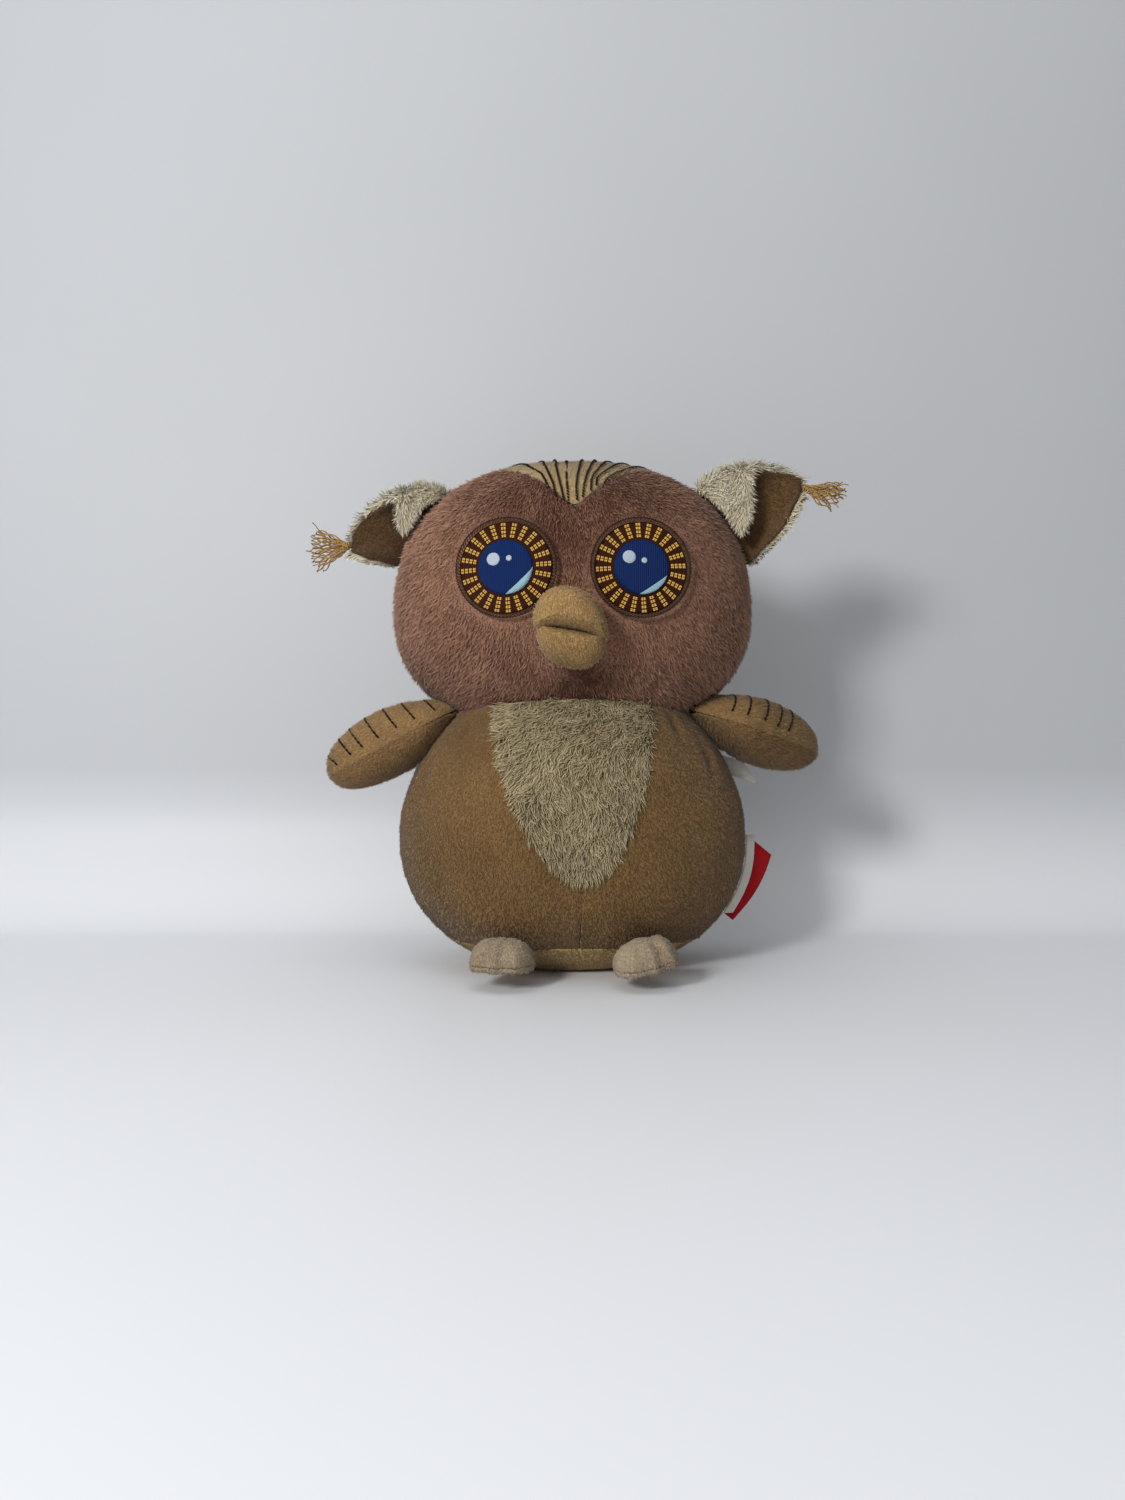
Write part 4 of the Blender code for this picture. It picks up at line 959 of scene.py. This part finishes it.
class OWL_OT_stage(Maker):
    """The paper sweep, the lamps and the camera"""

    bl_idname = "owl.stage"
    bl_label = "Stage"

    def make(self, owl):
        scene = bpy.context.scene
        lens = bpy.data.cameras.new("Camera")
        lens.sensor_width = SENSOR
        lens.lens = SENSOR * FOCAL_PIXELS / IMAGE_HEIGHT
        lens.shift_y = (HORIZON_PIXEL - IMAGE_HEIGHT / 2) / IMAGE_HEIGHT
        lens.clip_start = 0.01
        camera = bpy.data.objects.new("Camera", lens)
        camera.location = EYE_POINT
        camera.rotation_euler = (math.pi / 2, 0, 0)
        scene.collection.objects.link(camera)
        scene.camera = camera

        front, flat, bend, top, half = -1.6, 0.066, 0.064, 1.5, 1.6
        line = [(front, 0.0), (-0.3, 0.0), (flat, 0.0)]
        for step in range(1, 13):
            angle = math.pi / 2 * step / 12
            line.append((flat + bend * math.sin(angle), bend * (1 - math.cos(angle))))
        line.append((flat + bend, top))
        across = [-half, -0.5, 0.0, 0.5, half]
        spots = [(x, y, z) for y, z in line for x in across]
        wide = len(across)
        faces = []
        for row in range(len(line) - 1):
            for col in range(wide - 1):
                first = row * wide + col
                faces.append((first, first + 1, first + wide + 1, first + wide))
        mesh = bpy.data.meshes.new("Paper")
        mesh.from_pydata(spots, [], faces)
        tints = tuple(owl.stage.floor), tuple(owl.stage.wall)
        paper = show("Paper", mesh, once("paper", paper_finish, *tints))
        for face in mesh.polygons:
            face.use_smooth = True

        world = bpy.data.worlds.new("Room")
        scene.world = world
        world.use_nodes = True
        world.node_tree.nodes["Background"].inputs[0].default_value = (0.985, 0.995, 1.0, 1)
        world.node_tree.nodes["Background"].inputs[1].default_value = owl.stage.world
        self.lamp("Main lamp", (-0.48, -0.96, 0.48), 0.2, owl.stage.lamp)
        self.lamp("Top lamp", (-0.1, -0.35, 1.0), 0.8, owl.stage.top)
        scene.view_settings.view_transform = "Standard"

    def lamp(self, name, place, size, power):
        """A square soft lamp aimed at the owl's middle."""
        light = bpy.data.lights.new(name, "AREA")
        light.size = size
        light.energy = power
        made = bpy.data.objects.new(name, light)
        made.location = place
        aim = Vector((0, 0, MIDDLE_HEIGHT)) - Vector(place)
        made.rotation_euler = aim.to_track_quat("-Z", "Y").to_euler()
        bpy.context.scene.collection.objects.link(made)


class OWL_OT_filling(Maker):
    """The fibre filling and the pellet pouch, inside the cloth"""

    bl_idname = "owl.filling"
    bl_label = "Filling"

    def make(self, owl):
        tints = tuple(owl.threads.fibre), tuple(owl.threads.neck)
        fibre = once("fibre", filling_finish, *tints, neck_height())
        pouch = once("pouch", tape_finish, tuple(owl.threads.pouch))
        for part, body in {"body": "torso", "head": "torso", "wing_right": "wing_right",
                           "wing_left": "wing_left"}.items():
            bare(f"{part}_stuffing", "fibre", body, fibre, change=self.dented)
        bare("pellet_pouch", "cloth", "torso", pouch)

    def dented(self, mesh):
        """Sinks the fibre a little way under the cloth, unevenly."""
        spots, normals = vertex_arrays(mesh)
        dents = [0.0006 + 0.0004 * noise.noise(Vector(spot) / 0.006) for spot in spots]
        move(mesh, spots - normals * np.array(dents)[:, None])


class OWL_OT_body(Maker):
    """The body's four brown panels, its base and the long-piled bib"""

    bl_idname = "owl.body"
    bl_label = "Body"

    def make(self, owl):
        every = [*BODY_PANELS, "chest_bib", "base_panel"]
        for node in BODY_PANELS:
            others = [other for other in every if other != node]
            dress(node, "torso", "brown_pile", "body", down_nap, crease=0.8, seams=others,
                  folds=BODY_FOLDS if "front" in node else (), uneven=0.0009, joins=HEAD_PANELS)
        dress("base_panel", "torso", "tan_pile", "base", down_nap, crease=0.8, seams=BODY_PANELS,
              reach=self.pressed)
        dress("chest_bib", "torso", "cream_long_pile", "bib", tousled_nap, crease=0.35,
              lock=(0.0046, 2.0), stray=0.4, uneven=0.0009, joins=HEAD_PANELS)
        self.neck(owl)

    def pressed(self, spots, normals):
        """Pile pressed flat under the owl's weight."""
        return np.clip(spots[:, 2] / 0.004, 0.12, 1)

    def neck(self, owl):
        """The gathered seam between the head and the body."""
        height = neck_height()
        ground = tree_of(["head_stuffing", "body_stuffing"])
        path, ups = [], []
        for angle in np.linspace(0, 2 * math.pi, 121):
            way = Vector((math.cos(angle), math.sin(angle), 0))
            spot, _, _, _ = ground.ray_cast(Vector((0, 0, height)) + way * 0.3, -way)
            path.append(spot + way * 0.0007)
            ups.append(way)
        thread = once("neck_thread", thread_finish, tuple(owl.threads.neck))
        carriers = rope(path, ups, 0.0028, 0.0034, math.radians(35), 1.5)
        stitches("neck_seam", carriers, thread, 8, "torso")


class OWL_OT_head(Maker):
    """The face and back of the head, and the stitched lines on the crown"""

    bl_idname = "owl.head"
    bl_label = "Head"

    def make(self, owl):
        beak = (middle_of("beak_upper") + middle_of("beak_lower")) / 2
        clearings = [(middle_of(f"eye_{name}_rim"), EYE_CLEARING, 0.3) for name in SIDES]
        clearings.append((beak, BEAK_CLEARING, 0.45))

        def trimmed(spots, normals):
            """Shorter round the eyes and the beak."""
            share = np.ones(len(spots))
            for spot, radius, least in clearings:
                gap = np.hypot(spots[:, 0] - spot.x, spots[:, 2] - spot.z) - radius
                share = np.minimum(share, np.clip(gap / 0.006, least, 1))
            return np.where(spots[:, 1] < 0, share, 1)

        def lit_temple_dark_brow_shaded_chin(spots):
            """Brushed light at the left temple and dark over the brow."""
            left = ramp(-spots[:, 0], 0.042, 0.012) * ramp(spots[:, 2], 0.14, 0.03)
            brow = np.exp(-((spots[:, 0] / 0.045) ** 4)) * ramp(spots[:, 2], 0.150, 0.03)
            under = np.hypot((spots[:, 0] - beak.x - 0.004) / 1.5, spots[:, 2] - beak.z + 0.021)
            # The temple term is painted light; the term under the beak is painted shadow.
            return left * 0.10 - brow * 0.30 - bell(under, 0, 0.010) * (spots[:, 1] < 0) * 0.42

        dress("head_face", "torso", "mauve_pile", "head", head_nap, crease=0.3, seams=["head_back"],
              joins=[*BODY_PANELS, "chest_bib"], lock=(0.0034, 1.1), stray=0.3, tone=lit_temple_dark_brow_shaded_chin,
              reach=trimmed, folds=HEAD_FOLDS, uneven=0.0005)
        dress("head_back", "torso", "tan_pile", "crown", crown_nap, crease=0.3, seams=["head_face"],
              joins=BODY_PANELS, uneven=0.0005)
        self.crown_lines(owl)

    def crown_lines(self, owl):
        ground = tree_of(["head_back", "head_face"])
        middle = middle_of("head_back").z
        carriers = []
        for pixels in CROWN_LINES:
            path, ups = [], []
            for pixel in pixels:
                spot, normal = seen(ground, *pixel)
                path.append(spot + normal * 0.0010)
                ups.append(normal)
            turns = [math.atan2(spot.z - middle, -spot.y) for spot in path[-2:]]
            drift = (path[-1].x - path[-2].x) / max(0.03, turns[1] - turns[0])
            for step in range(1, 13):
                turn = turns[1] + math.radians(2.5) * step
                across = path[len(pixels) - 1].x + drift * 0.6 * (turn - turns[1])
                way = Vector((0, math.cos(turn), -math.sin(turn)))
                spot, normal, _, _ = ground.ray_cast(Vector((across, 0, middle)) - way * 0.3, way)
                path.append(spot + normal * 0.0010)
                ups.append(normal)
            carriers += rope(path, ups, 0.00155, 0.00092, math.radians(34), 1.15)
        thread = once("dark_thread", thread_finish, tuple(owl.threads.line))
        stitches("crown_lines", carriers, thread, 6, "torso")


class OWL_OT_eyes(Maker):
    """The embroidered eyes: brown satin, gold blocks, blue pupil and its glints, corded rims"""

    bl_idname = "owl.eyes"
    bl_label = "Eyes"

    def make(self, owl):
        rows = {
            "iris": ("satin", (0.7, 0.7), 0.5), "pupil": ("satin", (1, 0), 0.8),
            "glint": ("satin", (0.35, 0.93), 0.5), "shine": ("satin", (0.6, -0.8), 0.6),
            "gold": ("thread", 0.4), "rim": ("thread",), "cord": ("thread",)}
        makers = {"satin": satin_finish, "thread": thread_finish}
        self.threads = {
            key: once(f"{key}_{kind}", makers[kind], tuple(getattr(owl.threads, key)), *given)
            for key, (kind, *given) in rows.items()}
        for name in SIDES:
            self.eye(name)

    def eye(self, name):
        nodes = [f"eye_{name}_{part}" for part in ("iris", "pupil", "rim")]
        centre = middle_of(nodes[0])
        radius, inner = (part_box(node)[1].x - middle_of(node).x for node in nodes[:2])
        disc = tree_of(nodes[:1])
        circle = [(math.cos(a), math.sin(a)) for a in np.linspace(0, 2 * math.pi, 72, endpoint=False)]
        iris = self.patch(f"{nodes[0]}_satin", centre, circle, radius, disc, 0.0002,
                          self.threads["iris"], "eye_embroidery", [nodes[0]])
        pupil = self.patch(f"{nodes[1]}_satin", centre, circle, inner, tree_of(nodes[:2]), 0.0003,
                           self.threads["pupil"], "pupil_embroidery", [nodes[1]])
        ground = tree_of([pupil, iris])
        for index, (pixel, size) in enumerate(zip(GLINTS[name], (0.0027, 0.0012))):
            spot, _ = seen(ground, *pixel)
            self.patch(f"eye_{name}_glint_{index + 1}", spot, circle[::2], size, ground, 0.0004,
                       self.threads["glint"], "pupil_embroidery")
        ends = [seen(ground, *pixel)[0] - centre for pixel in SHINE_CHORDS[name]]
        last, first = (math.atan2(end.z, end.x) for end in ends)
        if last < first:
            last += 2 * math.pi
        arc = [first + (last - first) * step / SHINE_STEPS for step in range(SHINE_STEPS + 1)]
        outline = [(inner * 0.985 * math.cos(a), inner * 0.985 * math.sin(a)) for a in arc]
        across, up = (sum(part) / len(arc) for part in zip(*outline))
        moved = [(x - across, z - up) for x, z in outline]
        self.patch(f"eye_{name}_shine", centre + Vector((across, 0, up)), moved, 1, ground, 0.0004,
                   self.threads["shine"], "pupil_embroidery")
        self.blocks(name, centre, inner, radius, disc)
        self.rims(name, centre, radius, nodes[2])

    def patch(self, name, centre, outline, size, ground, rise, finish, slot_name, nodes=()):
        """A low satin patch over a surface, from its outline round a centre."""
        shape = bmesh.new()
        shares = (0.0, 0.3, 0.55, 0.75, 0.9, 0.97, 1.0)
        rings = []
        for share in shares[1:]:
            ring = []
            for across, up in outline:
                spot = Vector((centre.x + across * size * share, 0, centre.z + up * size * share))
                ring.append(shape.verts.new(self.lift(spot, ground, rise * (1 - share**6) ** 0.5)))
            rings.append(ring)
        rings.append([shape.verts.new(v.co + Vector((0, 0.0006, 0))) for v in rings[-1]])
        tops = [shape.verts.new(self.lift(Vector((centre.x, 0, centre.z)), ground, rise)),
                shape.verts.new(self.lift(Vector((centre.x, 0, centre.z)), ground, -0.0006))]
        count = len(outline)
        for first, second in zip(rings, rings[1:]):
            for index in range(count):
                after = (index + 1) % count
                shape.faces.new((first[index], first[after], second[after], second[index]))
        for top, ring in ((tops[0], rings[0]), (tops[1], rings[-1])):
            for index in range(count):
                shape.faces.new((top, ring[index], ring[(index + 1) % count]))
        bmesh.ops.recalc_face_normals(shape, faces=shape.faces)
        chart = shape.loops.layers.uv.new("UVMap")
        for face in shape.faces:
            for loop in face.loops:
                loop[chart].uv = ((loop.vert.co.x - centre.x) * 1000, (loop.vert.co.z - centre.z) * 1000)
        mesh = bpy.data.meshes.new(name)
        shape.to_mesh(mesh)
        shape.free()
        piece = show(name, mesh, finish)
        settle(piece, "torso", nodes)
        return piece

    def lift(self, spot, ground, rise):
        """The point of the surface straight behind a spot, raised towards the viewer."""
        hit = ground.ray_cast(Vector((spot.x, -0.3, spot.z)), Vector((0, 1, 0)))
        if hit[0] is None:
            near = ground.find_nearest(Vector((spot.x, -0.05, spot.z)))[0]
            return Vector((spot.x, near.y - rise, spot.z))
        return Vector((spot.x, hit[0].y - rise, spot.z))

    def blocks(self, name, centre, inner, radius, ground):
        """Gold satin blocks: 24 spokes of 4, each of two columns of two threads."""
        carriers = []
        band = radius - inner - 0.0012
        for spoke in range(24):
            turn = 2 * math.pi * (spoke + 0.25) / 24
            out = Vector((math.cos(turn), 0, math.sin(turn)))
            side = Vector((-math.sin(turn), 0, math.cos(turn)))
            for block in range(4):
                for thread in range(2):
                    away = inner + 0.0009 + band * (block + 0.3 + 0.36 * thread) / 4
                    for column in (-1, 1):
                        wide = 0.00084 + 0.020 * (away - inner)
                        spot = centre + out * away + side * (column * wide * 0.56)
                        up = Vector((0, -1, 0))
                        place = self.lift(spot, ground, 0.00035)
                        carriers.append((place, side, up, (wide * 1.06, band * 0.10, 0.0005)))
        stitches(f"eye_{name}_gold_blocks", carriers, self.threads["gold"], 6, "torso")

    def rims(self, name, centre, radius, node):
        """The dark line round the eye and the lighter cord inside it."""
        ground = tree_of(["head_face", node])
        for part, away, wide, pitch, slant, finish, rise in (
            ("line", radius + 0.0015, 0.00075, 0.0013, 24, self.threads["rim"], 0.0009),
            ("cord", radius + 0.0007, 0.00095, 0.0015, 38, self.threads["cord"], 0.0009),
            ("inner_line", radius - 0.0001, 0.00075, 0.0012, 24, self.threads["rim"], 0.0006),
        ):
            path = []
            for a in np.linspace(0, 2 * math.pi, 97):
                spot = centre + Vector((math.cos(a) * away, 0, math.sin(a) * away))
                path.append(self.lift(spot, ground, rise if part != "inner_line" else 0.0003))
            ups = [Vector((0, -1, 0))] * len(path)
            carriers = rope(path, ups, pitch, wide, math.radians(slant), 1.35)
            stitches(f"eye_{name}_{part}", carriers, finish, 6, "torso",
                     [node] if part == "cord" else ())


class OWL_OT_beak(Maker):
    """The beak's two stuffed lobes"""

    bl_idname = "owl.beak"
    bl_label = "Beak"

    def make(self, owl):
        for part, other in (("upper", "lower"), ("lower", "upper")):
            dress(f"beak_{part}", "torso", "beak_pile", "beak", forward_nap, stray=0.5, cover=0.0006,
                  eased=10, shape=self.rounder(other))

    def rounder(self, other):
        """Fills the lobes out at the mouth and sews its corners together."""
        low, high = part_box("beak_lower")[0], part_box("beak_upper")[1]
        tree = tree_of([f"beak_{other}"])
        middle = (low.x + high.x) / 2

        def change(spots, normals):
            share = (spots[:, 2] - low.z) / (high.z - low.z)
            side = normals[:, 0] * bell(share, 0.22, 0.2) * 0.0006
            front = np.clip(-normals[:, 1], 0, 1) * bell(share, 0.5, 0.10) * -0.0014
            corner = ramp(np.abs(spots[:, 0] - middle), 0.0065, 0.004)
            return drawn(spots + flow(spots, side, front, 0), tree, 0.005, corner, 0.8)

        return change


class OWL_OT_wings(Maker):
    """The wings' two cloths each, and the dark stitched lines over them"""

    bl_idname = "owl.wings"
    bl_label = "Wings"

    def make(self, owl):
        thread = once("dark_thread", thread_finish, tuple(owl.threads.line))
        for name, side in SIDES.items():
            body = f"wing_{name}"
            upper, lower = f"{body}_upper", f"{body}_lower"
            shared = {"crease": 0.3, "shape": self.fuller(name, side), "cover": 0.0005,
                      "lock": (0.003, 0.8), "stray": 0.4, "joins": [*HEAD_PANELS, *BODY_PANELS]}
            top = dress(upper, body, "tan_pile", "wing_top", outward_nap, seams=[lower], **shared)
            dress(lower, body, "brown_pile", "wing_under", outward_nap, seams=[upper], **shared)
            cloth = once("wing_top_cloth", cloth_finish, owl.wing_top)
            bare(f"{body}_tab", "cloth", body, cloth, crease=0.6)
            self.lines(name, side, top, thread)

    def ways(self, name, side):
        """A wing's hinge and its directions out, ahead and up."""
        hinge = Vector(joint_of(f"wing_{name}")["pos_m"])
        droop, sweep = math.radians(WING_DROOP[name]), math.radians(WING_SWEEP[name])
        level = Vector((side * math.cos(sweep), math.sin(sweep), 0))
        out = level * math.cos(droop) - Vector((0, 0, math.sin(droop)))
        ahead = Vector((side * math.sin(sweep), -math.cos(sweep), 0))
        return hinge, out, ahead, ahead.cross(out) * side

    def fuller(self, name, side):
        """Plumps a wing towards its root and draws the root into the body's seam."""
        hinge, out, ahead, up = self.ways(name, side)

        def change(spots, normals):
            away = spots - np.array(hinge)
            along, rise, front = away @ np.array(out), away @ np.array(up), away @ np.array(ahead)
            near = np.clip(1 - along / 0.040, 0, 1)
            near = near * near * (3 - 2 * near)
            part = np.clip(along / 0.022, 0.12, 1)
            lower = rise * (part ** -0.75) * 1.16
            upper = rise * (part ** -0.28) * 1.10
            made = np.where(rise < 0, lower, upper)
            made = made - np.sign(rise) * 0.00034 * bell(rise, 0, 0.0015)
            root = np.clip(1 - along / 0.014, 0, 1) * 0.0080
            forward = front * near * 0.22 + near * 0.0022
            return spots + np.outer(made - rise, up) + np.outer(forward, ahead) - np.outer(root, out)

        return change

    def lines(self, name, side, top, thread):
        hinge, out, ahead, up = self.ways(name, side)
        ground = tree_of([top])
        carriers = []
        for pixel in WING_LINES[name]:
            along = (level_with(*pixel, hinge.y - 0.008) - hinge).dot(out)
            path, ups = [], []
            for step in range(21):
                angle = math.radians(14 + 150 * step / 20)
                way = ahead * math.cos(angle) + up * math.sin(angle)
                run = along + 0.0045 * (math.sin(angle) - 0.75)
                start = hinge + out * run + way * 0.06
                hit, normal, _, _ = ground.ray_cast(start, -way)
                if hit is not None:
                    path.append(hit + normal * 0.0006)
                    ups.append(normal)
            if len(path) > 2:
                carriers += rope(path, ups, 0.0023, 0.00105, 0, 1.04)
        stitches(f"wing_{name}_lines", carriers, thread, 8, f"wing_{name}")


class OWL_OT_ears(Maker):
    """The ears: long cream pile outside and short brown pile inside"""

    bl_idname = "owl.ears"
    bl_label = "Ears"

    def make(self, owl):
        for name in SIDES:
            body = f"ear_{name}"
            root = np.array(joint_of(body)["pos_m"])

            def rooted(spots, root=root, name=name):
                """Nap that runs to the tip, but over the seam where the ear is sewn to the head."""
                near = np.clip(1 - np.abs(spots[:, :1] - root[0]) / 0.008, 0, 1)
                inward = flow(spots, -np.sign(spots[:, 0]), -0.6, -0.9)
                forward = np.array([[0, -0.5 if name == "right" else 0, 0]])
                return (outward_nap(spots) + forward) * (1 - near) + inward * near

            shape, tone = (self.bowed, self.shaded) if name == "right" else (None, None)
            shared = {"crease": 0.2, "cover": 0.0009, "fill": 0.3, "shape": shape, "joins": HEAD_PANELS}
            dress(f"{body}_outer", body, "cream_long_pile", "ear", rooted, lock=(0.004, 1.4), stray=0.5,
                  reach=self.lying, **shared)
            dress(f"{body}_inner", body, "ear_lining_pile", "lining", rooted, tone=tone, **shared)

    def shaded(self, spots):
        """Darker lining, deep in the ear that droops."""
        return np.full(len(spots), -0.28)

    def bowed(self, spots, normals):
        """Bows up the top of the ear that droops, between its root and its tip."""
        root, tip = joint_of("ear_right")["pos_m"][0], joint_of("tassel_right")["pos_m"][0]
        low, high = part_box("ear_right_outer")
        share = (spots[:, 0] - root - 0.014) / (tip - root - 0.014)
        lift = np.interp(share, EAR_BOW_SHARES, EAR_BOW_LIFTS)
        return spots + flow(spots, 0, 0, lift * ramp(spots[:, 2], low.z, high.z - low.z))

    def lying(self, spots, normals):
        """Shorter pile on the faces that look down, longer on the roll at the top."""
        return np.clip(1 + normals[:, 2] * 0.9, 0.35, 1.45)


class OWL_OT_tassels(Maker):
    """The yarn tassels at the ears' tips"""

    bl_idname = "owl.tassels"
    bl_label = "Tassels"

    def make(self, owl):
        straw = once("straw_yarn", thread_finish, tuple(owl.threads.yarn), 0.75)
        noise.seed_set(TASSEL_SEED)
        for name, side in SIDES.items():
            body = f"tassel_{name}"
            root = Vector(joint_of(body)["pos_m"])
            ends = [level_with(px, py, root.y) for px, py in TASSEL_ENDS[name]]
            lines = []
            for index in range(TASSEL_STRANDS):
                share = index / (TASSEL_STRANDS - 1) * (len(ends) - 1)
                at = min(int(share), len(ends) - 2)
                end = ends[at].lerp(ends[at + 1], share - at)
                grain = noise.noise_vector(Vector((index * 3.7, side, 0.5)))
                end = root + (end - root) * (0.92 + 0.22 * grain.x) + Vector((0, grain.y * 0.006, 0))
                side_way = (end - root).cross(Vector((0, 1, 0))).normalized()
                line = []
                for step in range(TASSEL_STEPS + 1):
                    along = step / TASSEL_STEPS
                    wave = math.sin(along * 11 + index * 2.1) * 0.0013 * along
                    deep = math.cos(along * 9 + index * 1.3) * 0.0011 * along
                    line.append(root.lerp(end, along) + side_way * wave + Vector((0, deep, 0)))
                lines.append(line)
            middle = (sum(ends, Vector()) / len(ends) - root).normalized()
            turn = middle.to_track_quat("Z", "Y")
            wrap = []
            for step in range(KNOT_STEPS + 1):
                angle = 2 * math.pi * KNOT_TURNS * step / KNOT_STEPS
                spot = Vector((KNOT_RADIUS * math.cos(angle), KNOT_RADIUS * math.sin(angle),
                               0.0010 + 0.0028 * step / KNOT_STEPS))
                wrap.append(root + turn @ spot)
            yarn(f"{body}_yarn", lines, 0.00095, 34.0, straw, body, [body])
            yarn(f"{body}_knot", [wrap], 0.0010, 60.0, straw, body)


class OWL_OT_feet(Maker):
    """The feet: three stuffed toes over a flat sole"""

    bl_idname = "owl.feet"
    bl_label = "Feet"

    def make(self, owl):
        for name in SIDES:
            body = f"foot_{name}"
            for part, shape, stray in (("top", self.toes(name), 0.35), ("sole", None, 0.5)):
                dress(f"{body}_{part}", body, "cream_short_pile", "foot", forward_nap, crease=0.75,
                      shape=shape, cover=0.0006, stray=stray)

    def toes(self, name):
        """Fills out the two grooves between a foot's three toes."""
        across = Vector(joint_of(f"foot_{name}")["axis"])
        across.z = 0
        across.normalize()
        low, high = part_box(f"foot_{name}_top")
        middle = middle_of(f"foot_{name}_top")

        def change(spots, normals):
            away = (spots - np.array(middle)) @ np.array(across)
            share = away / np.abs(away).max()
            groove = bell(np.abs(share), 0.36, 0.11)
            rise = ramp(spots[:, 2], low.z, high.z - low.z)
            return spots + normals * (0.0005 * groove * rise ** 0.5)[:, None]

        return change


class OWL_OT_labels(Maker):
    """The bare sewn-in labels"""

    bl_idname = "owl.labels"
    bl_label = "Labels"

    def make(self, owl):
        for node, body, tint in (
                ("side_label_white", "side_label", "white"), ("side_label_red", "side_label", "red"),
                ("care_label", "care_label", "white")):
            tape = once(f"{tint}_tape", tape_finish, tuple(getattr(owl.threads, tint)))
            bare(node, "tape", body, tape, crease=1.0, change=self.turned(body))

    def turned(self, body):
        """Turns a label about its hinge, towards the viewer."""
        joint = joint_of(body)
        hinge = Matrix.Translation(joint["pos_m"])
        turn = Matrix.Rotation(math.radians(LABEL_TURNS[body]), 4, Vector(joint["axis"]))
        return lambda mesh: mesh.transform(hinge @ turn @ hinge.inverted())


class OWL_PT_panel(bpy.types.Panel):
    """Lists the owl's operators and settings"""

    bl_idname = "OWL_PT_panel"
    bl_label = "Plush Owl"
    bl_space_type = "VIEW_3D"
    bl_region_type = "UI"
    bl_category = "Plush Owl"

    def draw(self, context):
        owl = context.scene.owl
        for operator in OPERATORS:
            self.layout.operator(operator.bl_idname)
        for name in (*PILES, "threads", "stage"):
            box = self.layout.box()
            box.label(text=name.replace("_", " "))
            group = getattr(owl, name)
            for field in group.__annotations__:
                box.prop(group, field)


OPERATORS = (
    OWL_OT_stage, OWL_OT_filling, OWL_OT_body, OWL_OT_head, OWL_OT_eyes, OWL_OT_beak, OWL_OT_wings,
    OWL_OT_ears, OWL_OT_tassels, OWL_OT_feet, OWL_OT_labels,
)


class OWL_PG_owl(bpy.types.PropertyGroup):
    """All the owl's settings."""

    __annotations__ = {
        **{name: bpy.props.PointerProperty(type=group) for name, group in PILES.items()},
        "threads": bpy.props.PointerProperty(type=OWL_PG_threads),
        "stage": bpy.props.PointerProperty(type=OWL_PG_stage),
    }


CLASSES = (*PILES.values(), OWL_PG_threads, OWL_PG_stage, OWL_PG_owl, *OPERATORS, OWL_PT_panel)


def register():
    for kind in CLASSES:
        bpy.utils.register_class(kind)
    bpy.types.Scene.owl = bpy.props.PointerProperty(type=OWL_PG_owl)


def unregister():
    del bpy.types.Scene.owl
    for kind in reversed(CLASSES):
        bpy.utils.unregister_class(kind)


def main():
    """Makes everything in order and writes the sizes of the solids and of the dressed owl."""
    register()
    for operator in OPERATORS:
        group, name = operator.bl_idname.split(".")
        getattr(getattr(bpy.ops, group), name)()


if __name__ == "__main__":
    main()
